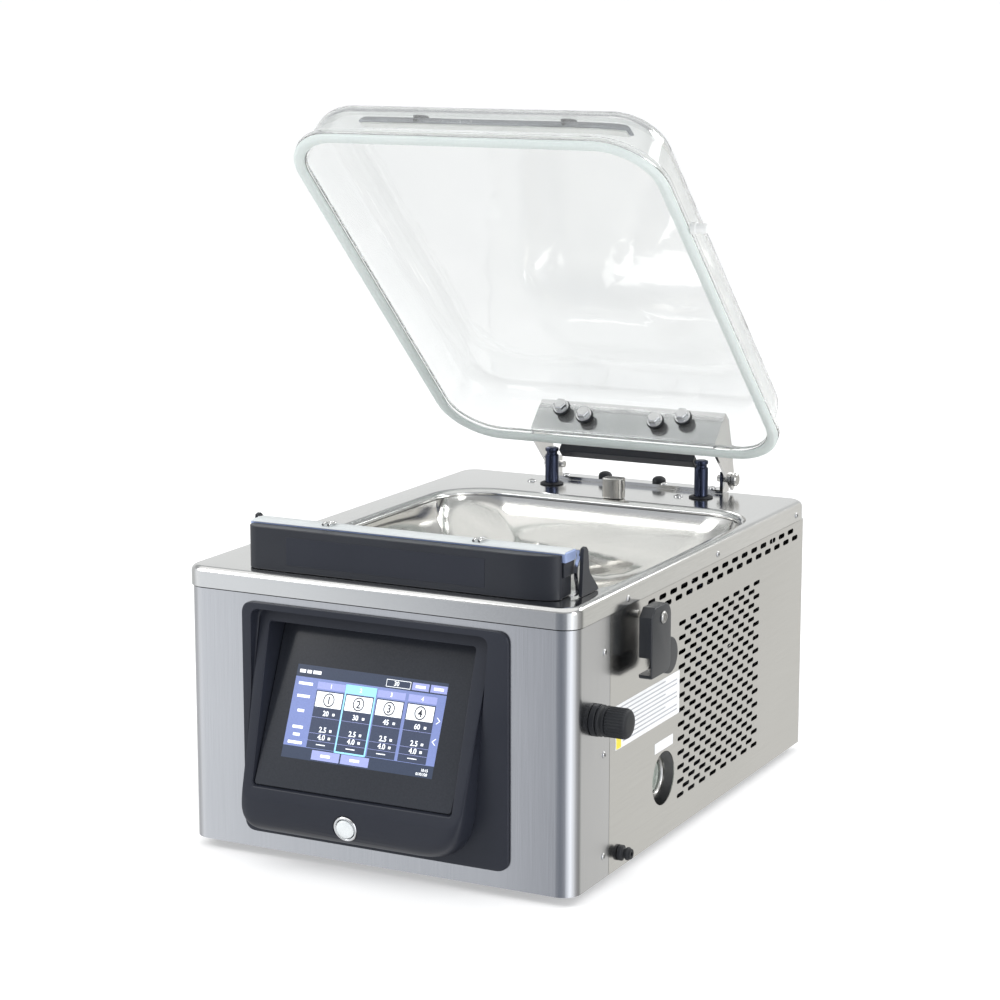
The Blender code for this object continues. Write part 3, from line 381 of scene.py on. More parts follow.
def turned(profile, base, axis=(0, 0, 1), steps=48, ribs=0, rib_depth=0.0, ribbed=(0.0, 0.0)):
    """A turned shape from (radius, height) points. Ribs wave the radius between two heights."""
    shape = bmesh.new()
    rows = []
    for radius, height in profile:
        if radius < 1e-6:
            rows.append([shape.verts.new((0, 0, height))] * steps)
            continue
        row = []
        for step in range(steps):
            angle = 2 * math.pi * step / steps
            wave = rib_depth * math.cos(ribs * angle) if ribs and ribbed[0] <= height <= ribbed[1] else 0.0
            row.append(shape.verts.new(((radius + wave) * math.cos(angle), (radius + wave) * math.sin(angle),
                                        height)))
        rows.append(row)
    closed = profile[0] == profile[-1]
    for one, two in zip(rows, rows[1:]):
        for index in range(steps):
            after = (index + 1) % steps
            corners = list(dict.fromkeys((one[index], one[after], two[after], two[index])))
            if len(corners) > 2:
                shape.faces.new(corners)
    if closed:
        bmesh.ops.remove_doubles(shape, verts=rows[0] + rows[-1], dist=1e-7)
    elif profile[0][0] > 1e-6 and profile[-1][0] > 1e-6:
        for index in range(steps):
            after = (index + 1) % steps
            shape.faces.new((rows[-1][index], rows[-1][after], rows[0][after], rows[0][index]))
    bmesh.ops.recalc_face_normals(shape, faces=shape.faces)
    bmesh.ops.transform(shape, matrix=Matrix.Translation(base) @ axis_turn(axis), verts=shape.verts)
    return shape


def cylinder(radius, low, high, base, axis=(0, 0, 1), steps=48):
    """A plain cylinder between two heights along an axis."""
    return turned([(0, low), (radius, low), (radius, high), (0, high)], base, axis, steps)


def round_node(node, along="z"):
    """The middle of the foot, the radius and the height of a round node that stands along z or x."""
    low, high = design_box(node)
    middle = (low + high) / 2
    if along == "x":
        return Vector((low.x, middle.y, middle.z)), (high.y - low.y) / 2, high.x - low.x
    return Vector((middle.x, middle.y, low.z)), (high.x - low.x) / 2, high.z - low.z


def prism(outline, low, high, plane="xy"):
    """A closed outline pushed from low to high along the axis that its plane leaves out."""
    place = {"xy": (0, 1, 2), "yz": (2, 0, 1), "xz": (0, 2, 1)}[plane]
    return loft([[[(a, b, level)[axis] for axis in place] for a, b in outline] for level in (low, high)])


def block(low, high):
    """A box, to be rounded by piece()."""
    return prism(corners_of(low[0], low[1], high[0], high[1]), low[2], high[2])


def merge(*shapes):
    """Several shapes in one."""
    whole = shapes[0]
    for shape in shapes[1:]:
        data = mesh_of("part", shape)
        whole.from_mesh(data)
        bpy.data.meshes.remove(data)
    return whole


def tube(points, radius, sides=12, closed=False):
    """A round wire along a path, with a frame that doesn't twist."""
    points = [Vector(point) for point in points]
    count = len(points)
    rings = []
    normal = None
    for index, point in enumerate(points):
        if closed:
            ahead = (points[(index + 1) % count] - points[index - 1]).normalized()
        else:
            ahead = (points[min(index + 1, count - 1)] - points[max(index - 1, 0)]).normalized()
        if normal is None:
            normal = ahead.orthogonal().normalized()
        normal = (normal - ahead * normal.dot(ahead)).normalized()
        side = ahead.cross(normal)
        turns = [2 * math.pi * k / sides for k in range(sides)]
        rings.append([point + (normal * math.cos(turn) + side * math.sin(turn)) * radius for turn in turns])
    return loft(rings, caps=not closed, loop=closed)


def smooth_path(points, steps=6):
    """A Catmull-Rom curve through the points."""
    points = [Vector(point) for point in points]
    padded = [points[0] * 2 - points[1]] + points + [points[-1] * 2 - points[-2]]
    made = []
    for index in range(1, len(padded) - 2):
        a, b, c, d = padded[index - 1:index + 3]
        for step in range(steps):
            t = step / steps
            made.append(0.5 * ((2 * b) + (c - a) * t + (2 * a - 5 * b + 4 * c - d) * t ** 2
                               + (3 * b - a - 3 * c + d) * t ** 3))
    made.append(points[-1])
    return made


def scratch(shape):
    """A bmesh as an object for the modifiers to work on."""
    return to_scene("scratch", mesh_of("scratch", shape))


def thicken(shape, thickness):
    """Gives an open sheet its thickness, behind its faces."""
    made = scratch(shape)
    solid = made.modifiers.new("thickness", "SOLIDIFY")
    solid.thickness = thickness
    solid.offset = -1
    solid.use_even_offset = True
    return apply_modifiers(made)


def screw_head(place, axis, radius=0.0032, slot=False):
    """A domed screw head with a cross or a single slot cut into it."""
    turns = [math.radians(angle) for angle in range(0, 91, 15)]
    dome = [(radius * math.sin(turn), 0.42 * radius * math.cos(turn) + 0.0002) for turn in turns]
    shape = turned(dome + [(radius, 0.0), (0.0, 0.0)], (0, 0, 0), steps=24)
    reach, half, floor = radius * 0.62, radius * 0.13, radius * 0.12
    arms = [block((-x, -y, floor), (x, y, radius)) for x, y in ((reach, half), (half, reach))]
    made = cut_out(shape, *arms[:1 if slot else 2])
    bmesh.ops.transform(made, matrix=Matrix.Translation(place) @ axis_turn(axis), verts=made.verts)
    return made


def apply_modifiers(source):
    """The evaluated mesh of a scratch object as a bmesh. The object goes."""
    graph = bpy.context.evaluated_depsgraph_get()
    data = bpy.data.meshes.new_from_object(source.evaluated_get(graph))
    shape = bmesh.new()
    shape.from_mesh(data)
    bpy.data.meshes.remove(data)
    bpy.data.objects.remove(source)
    return shape


def cut_out(shape, *tools):
    """Cuts closed shapes out of a closed shape."""
    body = scratch(shape)
    others = [scratch(tool) for tool in tools]
    for other in others:
        cutting = body.modifiers.new("cut", "BOOLEAN")
        cutting.operation = "DIFFERENCE"
        cutting.solver = "EXACT"
        cutting.object = other
    made = apply_modifiers(body)
    for other in others:
        bpy.data.objects.remove(other)
    return made


# --- Cabinet ---

WINDOW = (-0.1115, 0.1035, CABINET_LOW + 0.053, CABINET_LOW + 0.1985)   # x and z of the panel's opening
SIDE_SCREW_R, SIDE_SCREW_Y, SIDE_SCREW_Z = 0.0027, 0.054, (0.187, 0.107, 0.026)
DECK_SCREW_Y, DECK_SCREW_RISE = (0.093, 0.272, 0.453), 0.0060
LEFT_SCREW_SINK = 0.0010
REAR_SCREW_R, REAR_SCREW_X, REAR_SCREW_Z = 0.0030, (-0.120, 0.0, 0.120), (0.022, 0.203)
ROW_SLOT, ROW_PITCH, ROW_SLOTS = (0.0140, 0.0042), 0.02157, 15
ROW_STARTS = ((0.2080, 0.1410), (0.2006, 0.1518))
FIELD_SLOT, FIELD_PITCH, FIELD_ROWS = (0.0142, 0.0035), 0.0230, 25
FIELD_TOP, FIELD_STEP = 0.1780, 0.0060
FIELD_EVEN, FIELD_ODD = (8, 0.2030), (7, 0.2145)
REAR_BEND, REAR_RETURN_X, SIDE_SEAM = 0.006, 0.1400, 0.0005
SIGHT_HOLE_R, SPIGOT_HOLE_R = 0.022, 0.0042
DECK_EDGE_R, DECK_LIP, DECK_LIP_R = 0.0055, (0.0045, 0.0030), (0.0035, 0.0025)
ROD_BORE_R = 0.0072


def make_front_panel():
    half = HALF_WIDTH
    path = [(-half, RETURN_Y)] + arc((-half + CORNER_R, CORNER_R), CORNER_R, 180, 270, 14)
    path += [(WINDOW[0], 0.0), (WINDOW[1], 0.0)]
    path += arc((half - CORNER_R, CORNER_R), CORNER_R, 270, 360, 14) + [(half, RETURN_Y)]
    levels = (CABINET_LOW, WINDOW[2], WINDOW[3], SEAM_Z - SEAM_SHADOW)
    shape = bmesh.new()
    rows = [[shape.verts.new((x, y, z)) for x, y in path] for z in levels]
    for row in range(3):
        for index in range(len(path) - 1):
            in_window = row == 1 and path[index] == (WINDOW[0], 0.0)
            if not in_window:
                shape.faces.new((rows[row][index], rows[row][index + 1], rows[row + 1][index + 1],
                                 rows[row + 1][index]))
    piece("front_sheet", thicken(shape, SHEET), FRONT_STEEL, stands_for=["front_panel"], sharp=30)


def slot_outline(y, z, length, height):
    """A slot with round ends, in the plane of a side cover."""
    reach = (length - height) / 2
    return arc((y + reach, z), height / 2, -90, 90, 4) + arc((y - reach, z), height / 2, 90, 270, 4)


def louvres(with_field):
    """The ventilation slots: two rows under the deck and, on the right-hand side, a staggered field."""
    slots = []
    for z, start in ROW_STARTS:
        slots += [slot_outline(start + ROW_PITCH * index, z, *ROW_SLOT) for index in range(ROW_SLOTS)]
    for row in range(FIELD_ROWS if with_field else 0):
        count, start = FIELD_ODD if row % 2 else FIELD_EVEN
        z = FIELD_TOP - FIELD_STEP * row
        slots += [slot_outline(start + FIELD_PITCH * index, z, *FIELD_SLOT) for index in range(count)]
    return slots


def make_side_cover(side, sign, openings):
    """A pressed side with its slots, and the bent rear edge that returns behind the machine."""
    half, start = HALF_WIDTH, RETURN_Y + SIDE_SEAM
    turn = (half - REAR_BEND, DEPTH - REAR_BEND)
    outline = [(half, start)] + arc(turn, REAR_BEND, 0, 90, 8)
    outline += [(REAR_RETURN_X, DEPTH), (REAR_RETURN_X, DEPTH - SIDE_SHEET)]
    outline += arc(turn, REAR_BEND - SIDE_SHEET, 90, 0, 8) + [(half - SIDE_SHEET, start)]
    sheet = prism([(sign * x, y) for x, y in outline], CABINET_LOW, SEAM_Z - SEAM_SHADOW)
    reach = sorted((sign * (half - 0.004), sign * (half + 0.004)))
    cutters = merge(*[prism(outline, *reach, "yz") for outline in openings + louvres(sign > 0)])
    made = piece(f"side_cover_{side}_sheet", cut_out(sheet, cutters), SIDE_STEEL,
                 stands_for=[f"side_cover_{side}"], sharp=30)
    for face in made.data.polygons:
        if abs(face.normal.x) > 0.9999:
            face.use_smooth = False


def make_side_covers():
    sight, spigot = round_node("oil_sight_glass", "x")[0].yz, round_node("drain_spigot", "x")[0].yz
    openings = [arc(sight, SIGHT_HOLE_R, 0, 360, 40)[:-1], arc(spigot, SPIGOT_HOLE_R, 0, 360, 16)[:-1]]
    make_side_cover("right", 1, openings)
    make_side_cover("left", -1, [])


def make_screws():
    """The small domed screws of the covers, on both sides and at the rear."""
    heads = []
    for sign in (-1, 1):
        edge = DECK_HIGH.x - (0.0 if sign > 0 else LEFT_SCREW_SINK)
        spots = [(HALF_WIDTH, SIDE_SCREW_Y, z) for z in SIDE_SCREW_Z]
        spots += [(edge, y, SEAM_Z + DECK_SCREW_RISE) for y in DECK_SCREW_Y]
        heads += [screw_head((sign * x, y, z), (sign, 0, 0), SIDE_SCREW_R) for x, y, z in spots]
    heads += [screw_head((x, DEPTH, z), BACKWARD, REAR_SCREW_R) for x in REAR_SCREW_X for z in REAR_SCREW_Z]
    piece("cover_screws", merge(*heads), BRIGHT_STEEL)


def deck_ring(inset, level):
    reach, rear = DECK_HIGH.x - inset, DECK_HIGH.y - inset
    radius = CORNER_R + 0.0015 - inset
    return [(x, y, level) for x, y in round_rect(-reach, reach, DECK_LOW.y + inset, rear, radius, 14)]


def chamber_plan(inset, radius, steps):
    x0, x1, y0, y1 = CHAMBER
    return round_rect(x0 + inset, x1 - inset, y0 + inset, y1 - inset, radius, steps)


def opening_ring(inset, level):
    return [(x, y, level) for x, y in chamber_plan(inset, CHAMBER_R - inset, 14)]


def make_deck():
    """The pressed top: a rolled outer edge, a lip down into the chamber and a sheet's thickness below."""
    edge, plate = DECK_EDGE_R, DECK_SHEET
    lip_reach, lip_drop = DECK_LIP
    rings = [deck_ring(0, SEAM_Z + GAP)]
    for angle in range(0, 91, 10):
        turn = math.radians(angle)
        rings.append(deck_ring(edge * (1 - math.cos(turn)), DECK_Z - edge + edge * math.sin(turn)))
    crest = len(rings)
    rings += [opening_ring(-lip_reach, DECK_Z), opening_ring(0, DECK_Z - lip_drop),
              opening_ring(0, DECK_Z - LIP_DROP), opening_ring(-plate, DECK_Z - LIP_DROP),
              opening_ring(-0.005, DECK_Z - plate), deck_ring(edge, DECK_Z - plate),
              deck_ring(plate, DECK_Z - edge), deck_ring(plate, SEAM_Z + GAP)]
    shape = loft(soften(rings, {crest: DECK_LIP_R[0], crest + 1: DECK_LIP_R[1]}, 5), loop=True)
    bores = []
    for side in ("left", "right"):
        foot = round_node(f"strut_rod_{side}")[0]
        bores.append(cylinder(ROD_BORE_R, -0.02, 0.02, (foot.x, foot.y, DECK_Z), steps=32))
    piece("deck_pressing", cut_out(shape, *bores), DECK_STEEL, stands_for=["deck"], sharp=30)


def bump(x, y, centre, reach, height):
    """A smooth hill for the bowl's floor."""
    span = ((x - centre[0]) / reach[0]) ** 2 + ((y - centre[1]) / reach[1]) ** 2
    return height * math.exp(-span)


# The bowl's wall and floor: (inset, drop) down the wall, and the hills that shape it, each as a
# centre, a reach in x and y, and a height
BOWL_WALL = ((0.0015, 0.0), (0.0022, 0.003), (0.0036, 0.007), (0.0060, 0.012), (0.0098, 0.018),
             (0.0150, 0.0245), (0.0215, 0.0312), (0.0295, 0.0378), (0.0390, 0.0438), (0.0500, 0.0490),
             (0.0620, 0.0530), (0.0750, 0.0560))
BOWL_MIDDLE = Vector(((CHAMBER[0] + CHAMBER[1]) / 2, (CHAMBER[2] + CHAMBER[3]) / 2))
BOWL_HILLS = (((CHAMBER[0] + 0.030, CHAMBER[2] + 0.060), (0.060, 0.110), 0.018),
              ((CHAMBER[1] - 0.020, CHAMBER[2] + 0.075), (0.062, 0.120), 0.030),
              ((BOWL_MIDDLE.x - 0.020, CHAMBER[3] - 0.010), (0.034, 0.110), 0.034))
BOWL_FLOOR_SAG = 0.003


def bowl_level(x, y, drop):
    share = min(1.0, drop / 0.045)
    hills = sum(bump(x, y, *hill) for hill in BOWL_HILLS)
    return DECK_Z - LIP_DROP - GAP - drop + hills * share ** 1.5


def bowl_plan(inset):
    return chamber_plan(inset, CHAMBER_R + 0.2 * inset, 20)


def make_bowl():
    """The pressed bowl: a steep wall, shelves at the front corners and a ridge between two lobes."""
    rings = [[(x, y, DECK_Z - LIP_DROP - GAP) for x, y in bowl_plan(-BASIN_FLANGE)]]
    for inset, drop in BOWL_WALL:
        rings.append([(x, y, bowl_level(x, y, drop)) for x, y in bowl_plan(inset)])
    inset, deepest = BOWL_WALL[-1]
    last = [Vector(point) for point in bowl_plan(inset)]
    for share in (0.85, 0.70, 0.55, 0.40, 0.26, 0.13, 0.05):
        drop = deepest + BOWL_FLOOR_SAG * (1 - share ** 2)
        spots = [BOWL_MIDDLE + (point - BOWL_MIDDLE) * share for point in last]
        rings.append([(spot.x, spot.y, bowl_level(spot.x, spot.y, drop)) for spot in spots])
    shape = loft(rings, caps=False)
    shape.verts.ensure_lookup_table()
    bottom = shape.faces.new(shape.verts[-len(last):])
    bmesh.ops.recalc_face_normals(shape, faces=shape.faces)
    if bottom.normal.z < 0:
        bmesh.ops.reverse_faces(shape, faces=shape.faces)
    piece("chamber_bowl", thicken(shape, BOWL_SHEET), BOWL_STEEL, stands_for=["chamber_basin"], sharp=60)


# --- Lid ---

LID_LOW, LID_HIGH = closed_box("lid_dome")
LID_CORNER_R, LID_TOP_R = 0.052, 0.021
LID_FLANGE, LID_FLANGE_THICK, LID_WALL = 0.006, 0.0055, 0.0045
LID_DRAFT = LID_CROWN = 0.0025
RIPPLE_OUT, RIPPLE_IN = -0.0006, 0.0009      # height of the faint waves in the dome's two skins
RIM_EDGE = 0.0004
GASKET_WIDTH, GASKET_EDGE, GASKET_TAPER = 0.010, 0.0006, 0.0030
BOLT_SPOTS = ((-0.060, 0.0275), (-0.035, 0.0210), (0.035, 0.0210), (0.060, 0.0275))
BOLT_SHIFT, BOLT_SEAT = -0.004, 0.0028
WASHER = ((0.0, -0.0010), (0.0078, -0.0010), (0.0080, 0.0), (0.0080, 0.0016), (0.0072, 0.0024), (0.0, 0.0024))
BOLT_FLANGE, BOLT_HEAD = (0.0072, 0.0024, 0.0034), ((0.0062, 0.0034), (0.0062, 0.0078), (0.0048, 0.0086))
PIN_SHAPE = ((0.0, 0.0), (1.0, 0.0), (1.0, 0.30), (0.86, 0.34), (0.86, 0.86), (0.70, 0.97), (0.4, 1.0),
             (0.0, 1.0))
KNOB_STUD_R, KNOB_REACH, KNOB_TIP = 0.0034, -0.0088, 0.0030
PLATE_HALF, PLATE_THICK = (0.021, 0.0042), 0.0012


def lid_ring(inset, height):
    plan = round_rect(LID_LOW.x + inset, LID_HIGH.x - inset, LID_LOW.y + inset, LID_HIGH.y - inset,
                      LID_CORNER_R - inset, 16)
    return [(x, y, LID_LOW.z + height) for x, y in plan]


def dome_skin(foot, height, radius, wave):
    """One skin of the dome: its foot, its rounded shoulder and its crowned, slightly wavy middle."""
    rings = [lid_ring(foot, LID_FLANGE_THICK)]
    rise = height - radius - LID_CROWN
    for angle in range(0, 91, 9):
        turn = math.radians(angle)
        inset = foot + LID_DRAFT + radius * (1 - math.cos(turn))
        rings.append(lid_ring(inset, rise + radius * math.sin(turn)))
    centre = Vector(((LID_LOW.x + LID_HIGH.x) / 2, (LID_LOW.y + LID_HIGH.y) / 2))
    shoulder = [Vector(point) for point in rings[-1]]
    for share in (0.92, 0.82, 0.70, 0.56, 0.42, 0.28, 0.15, 0.05):
        ring = []
        for point in shoulder:
            x = centre.x + (point.x - centre.x) * share
            y = centre.y + (point.y - centre.y) * share
            ripple = wave * math.sin(26 * x + 15 * y) * math.sin(19 * y - 11 * x) * (1 - share ** 2)
            ring.append((x, y, point.z + LID_CROWN * (1 - share ** 2) + ripple))
        rings.append(ring)
    return rings


def make_lid():
    """The clear dome, from the middle of its inner skin round the flange to the middle of its outer one."""
    tall = LID_HIGH.z - LID_LOW.z
    outer = dome_skin(LID_FLANGE, tall, LID_TOP_R, RIPPLE_OUT)
    inner = dome_skin(LID_FLANGE + LID_WALL, tall - LID_WALL, LID_TOP_R - LID_WALL, RIPPLE_IN)
    flange = [lid_ring(LID_FLANGE + LID_WALL, 0.0), lid_ring(RIM_EDGE, 0.0),
              lid_ring(RIM_EDGE, LID_FLANGE_THICK)]
    rings = list(reversed(inner)) + flange + outer
    start = len(inner)
    shape = loft(soften(rings, {start + 1: 0.0012, start + 2: 0.0016, start + 3: 0.0020}, 4))
    piece("lid_shell", shape, ACRYLIC, "lid", ["lid_dome"], sharp=50)
    make_gasket()
    make_lid_fittings()
    make_pressing_bar()


def make_gasket():
    low, high = closed_box("lid_gasket")
    thick, drop = high.z - low.z, high.z - LID_LOW.z
    waist, foot = drop - thick * 0.45, drop - thick
    section = ((GASKET_EDGE, drop), (GASKET_EDGE, waist), (GASKET_TAPER, foot),
               (GASKET_WIDTH - GASKET_TAPER, foot), (GASKET_WIDTH, waist), (GASKET_WIDTH, drop))
    rings = [lid_ring(inset, level) for inset, level in section]
    rings = soften(rings, {1: 0.001, 2: 0.0014, 3: 0.0014, 4: 0.001})
    piece("lid_seal", loft(rings, loop=True), SILICONE, "lid", ["lid_gasket"], sharp=60)


def hexagon(radius, level):
    turns = [math.radians(60 * corner) for corner in range(6)]
    return [(radius * math.cos(turn), radius * math.sin(turn), level) for turn in turns]


def make_lid_fittings():
    """The bolts that clamp the lid to its channel, with their washers, and the lock pin."""
    low, high = closed_box("lid_bracket")
    middle = (low.x + high.x) / 2 + BOLT_SHIFT
    wall = LID_HIGH.y - LID_FLANGE - LID_WALL - BOLT_SEAT
    heads, washers = [], []
    for x, z in BOLT_SPOTS:
        seat = Vector((middle + x, wall, LID_LOW.z + z))
        washers.append(turned(WASHER, seat, FORWARD, 36))
        heads.append(cylinder(*BOLT_FLANGE, seat, FORWARD, 36))
        head = loft(soften([hexagon(*level) for level in BOLT_HEAD], {1: 0.0006}, 2))
        bmesh.ops.transform(head, matrix=Matrix.Translation(seat) @ axis_turn(FORWARD), verts=head.verts)
        heads.append(head)
    piece("lid_bolts", merge(*heads), BRIGHT_STEEL, "lid", sharp=24)
    piece("lid_bolt_washers", merge(*washers), RUBBER, "lid")
    low, high = closed_box("lid_lock_pin")
    radius, reach = (high.z - low.z) / 2, high.x - low.x
    seat = (low.x, *((low + high) / 2).yz)
    profile = [(radius * wide, reach * far) for wide, far in PIN_SHAPE]
    piece("lock_pin", turned(profile, seat, RIGHT, 32), WHITE_PIN, "lid", ["lid_lock_pin"])


def make_pressing_bar():
    """The bar under the lid's front, its soft face, and the two knobs whose studs hold it."""
    low, high = closed_box("pressure_bar")
    outline = fillet([(low.x, low.z), (high.x, low.z), (high.x - 0.006, high.z), (low.x + 0.006, high.z)],
                     (0.002, 0.002, 0.004, 0.004))
    piece("pressing_bar", prism(outline, low.y, high.y, "xz"), SMOKE, "lid", ["pressure_bar"], bevel=0.0010)
    piece("pressing_face", block(*closed_box("pressure_pad")), PAD, "lid", ["pressure_pad"], bevel=0.0012)
    for side in ("left", "right"):
        low, high = closed_box(f"pressure_knob_{side}")
        radius, head = (high.x - low.x) / 2, (high.z - low.z) * 0.42
        inner, grip = radius * 0.80, head * 0.8
        profile = [(0.0, KNOB_REACH - KNOB_TIP), (radius * 0.72, KNOB_REACH - KNOB_TIP), (inner, KNOB_REACH),
                   (KNOB_STUD_R, KNOB_REACH), (KNOB_STUD_R, 0.0), (inner, 0.0), (radius, 0.0010),
                   (radius, grip), (inner, head), (0.0, head)]
        middle = (low + high) / 2
        knob = turned(profile, (middle.x, middle.y, low.z), steps=40, ribs=10, rib_depth=0.0003,
                      ribbed=(0.0010, grip))
        piece(f"bar_knob_{side}", knob, BLACK, "lid", [f"pressure_knob_{side}"])
        wide, deep = PLATE_HALF
        plan = round_rect(middle.x - wide, middle.x + wide, middle.y - deep, middle.y + deep, 0.003, 4)
        foot = low.z + KNOB_REACH
        piece(f"bar_plate_{side}", prism(plan, foot, foot + PLATE_THICK), SATIN_STEEL, "lid", bevel=0.0003,
              segments=2)


# --- Hinge and gas springs ---

ROD_PLAY = 0.0004
HINGE_SCREW_Y, HINGE_SCREW_R, HINGE_PLATE = 0.4705, 0.0036, 0.0033
DECK_SCREWS, DECK_SCREW_R = ((-0.085, 0.444), (0.065, 0.436)), 0.0042


def make_hinge():
    """The gas springs' rods and sleeves, the lid's rubber stops, and the screws of the hinge plate."""
    for side in ("left", "right"):
        foot, radius, _ = round_node(f"strut_rod_{side}")
        low, top = foot.z, design_box(f"strut_rod_{side}")[1].z
        profile = fillet([(0.0, low), (radius, low), (radius, top - 0.0075), (radius * 0.80, top - 0.0065),
                          (radius * 0.80, top - 0.0045), (radius, top - 0.0035), (radius, top - 0.001),
                          (radius * 0.6, top), (0.0, top)], 0.0006, closed=False, steps=3)
        piece(f"strut_{side}_bar", turned(profile, (foot.x, foot.y, 0)), ROD_METAL, f"strut_{side}",
              [f"strut_rod_{side}"])
        bore = radius + ROD_PLAY
        base, outer, tall = round_node(f"rod_grommet_{side}")
        ring = fillet([(bore, 0.0), (outer, 0.0), (outer, tall * 0.45), (outer - 0.0022, tall), (bore, tall)],
                      (0, 0, 0.0004, 0.0006, 0.0003), steps=3)
        piece(f"strut_{side}_sleeve", turned(ring + [ring[0]], (foot.x, foot.y, base.z)), RUBBER,
              stands_for=[f"rod_grommet_{side}"])
        base, radius, tall = round_node(f"lid_stop_{side}")
        turns = [math.radians(angle) for angle in range(10, 90, 10)]
        dome = [(0.0, 0.0), (radius, 0.0), (radius, tall * 0.35)]
        dome += [(radius * math.cos(turn), tall * (0.35 + 0.65 * math.sin(turn))) for turn in turns]
        piece(f"lid_stop_{side}_dome", turned(dome + [(0.0, tall)], base), RUBBER,
              stands_for=[f"lid_stop_{side}"])
    low, high = design_box("hinge_base")
    heads = [screw_head((x, HINGE_SCREW_Y, DECK_Z + HINGE_PLATE), UP, HINGE_SCREW_R) for x in
             (low.x + 0.012, low.x + 0.060, high.x - 0.060, high.x - 0.012)]
    heads += [screw_head((x, y, DECK_Z), UP, DECK_SCREW_R) for x, y in DECK_SCREWS]
    piece("deck_screws", merge(*heads), BRIGHT_STEEL)


# --- Seal unit ---

COVER_CURVE, COVER_SWEEP = 0.0105, 0.034      # the left and right front corners of the cover
COVER_PLATE = (-0.084, 0.090, 0.0055, 0.0060)
BAR_BLUE_TALL, TAPE_SKIN = 0.0085, 0.0003
SEAL_FOOT = ((0.0385, 0.0), (0.0700, 0.0), (0.0520, 0.0170), (0.0495, 0.0345), (0.0460, 0.0375),
             (0.0415, 0.0365))
SEAL_FOOT_R = (0.0005, 0.002, 0.010, 0.003, 0.002, 0.001)
SPRING_PATH = ((0.0300, 0.0015), (0.0400, 0.0018), (0.0405, 0.0080), (0.0380, 0.0150), (0.0385, 0.0230),
               (0.0425, 0.0290), (0.0415, 0.0355))
SPRING_THICK = 0.0009
CLIP_WIRE_R = 0.0011
SLIT_HALF, SLIT_Z = 0.0013, (0.0060, 0.0140)


def make_seal_unit():
    """The rounded front cover, the holder, and the lifting bar with its tape, ends and clips."""
    low, high = design_box("seal_front_cover")
    outline = [(high.x, high.y), (low.x, high.y)]
    outline += arc((low.x + COVER_CURVE, low.y + COVER_CURVE), COVER_CURVE, 180, 270, 12)
    for x, y in arc((0, 0), 1.0, 270, 356, 16):
        outline.append((high.x - COVER_SWEEP + COVER_SWEEP * x, high.y + (high.y - low.y) * y))
    piece("seal_cover_shell", prism(outline, low.z, high.z), BLACK, stands_for=["seal_front_cover"],
          bevel=0.0012)
    left, right, foot, head = COVER_PLATE
    inset = fillet(corners_of(left, low.z + foot, right, high.z - head), 0.0012)
    piece("seal_cover_plate", prism(inset, low.y - 0.0003, low.y + 0.0010, "xz"), BEZEL_BLACK, bevel=0.0002,
          segments=1)
    piece("seal_bar_holder", block(*design_box("seal_bar_base")), BLACK, stands_for=["seal_bar_base"],
          bevel=0.0012)
    low, high = design_box("seal_bar")
    waist = high.z - BAR_BLUE_TALL
    piece("seal_bar_body", block((low.x, low.y, waist), high - Vector((0, 0, 0.0004))), BAR_BLUE, "seal_bar",
          ["seal_bar"], bevel=0.0012)
    insulator = block(low + Vector((0.0015, 0.0004, 0)), (high.x - 0.0015, high.y - 0.0004, waist))
    piece("seal_bar_insulator", insulator, BLACK, "seal_bar", bevel=0.0008)
    skin, edge, fold, turn, inner = TAPE_SKIN, high.z - 0.0013, high.z - 0.001, 0.001, high.z - TAPE_SKIN
    section = [(low.y - skin, edge), (low.y - skin, fold), (low.y + turn, high.z), (high.y - turn, high.z),
               (high.y + skin, fold), (high.y + skin, edge), (high.y, edge), (high.y, high.z - 0.0016),
               (high.y - 0.0012, inner), (low.y + 0.0012, inner), (low.y, high.z - 0.0016), (low.y, edge)]
    piece("seal_tape", prism(section, low.x + 0.001, high.x - 0.001, "yz"), TAPE, "seal_bar", sharp=60)
    for side in ("left", "right"):
        make_seal_end(side)
        make_clip(side)


def make_seal_end(side):
    """A moulded end of the bar's seat, and the strip of sprung metal that feeds the bar."""
    low, high = design_box(f"seal_foot_{side}")
    floor = low.z
    outline = [(y, floor + z) for y, z in fillet(SEAL_FOOT, SEAL_FOOT_R)]
    piece(f"seal_end_{side}", prism(outline, low.x, high.x, "yz"), BLACK, stands_for=[f"seal_foot_{side}"],
          bevel=0.0005)
    low, high = design_box(f"seal_spring_{side}")
    strip = smooth_path([(y, z, 0) for y, z in SPRING_PATH], 5)
    outer = [(point.x, floor + point.y) for point in strip]
    inner = []
    for index, point in enumerate(strip):
        ahead = (strip[min(index + 1, len(strip) - 1)] - strip[max(index - 1, 0)]).normalized()
        inner.append((point.x - SPRING_THICK * ahead.y, floor + point.y + SPRING_THICK * ahead.x))
    piece(f"contact_spring_{side}", prism(outer + inner[::-1], low.x, high.x, "yz"), CHROME,
          stands_for=[f"seal_spring_{side}"], sharp=50)


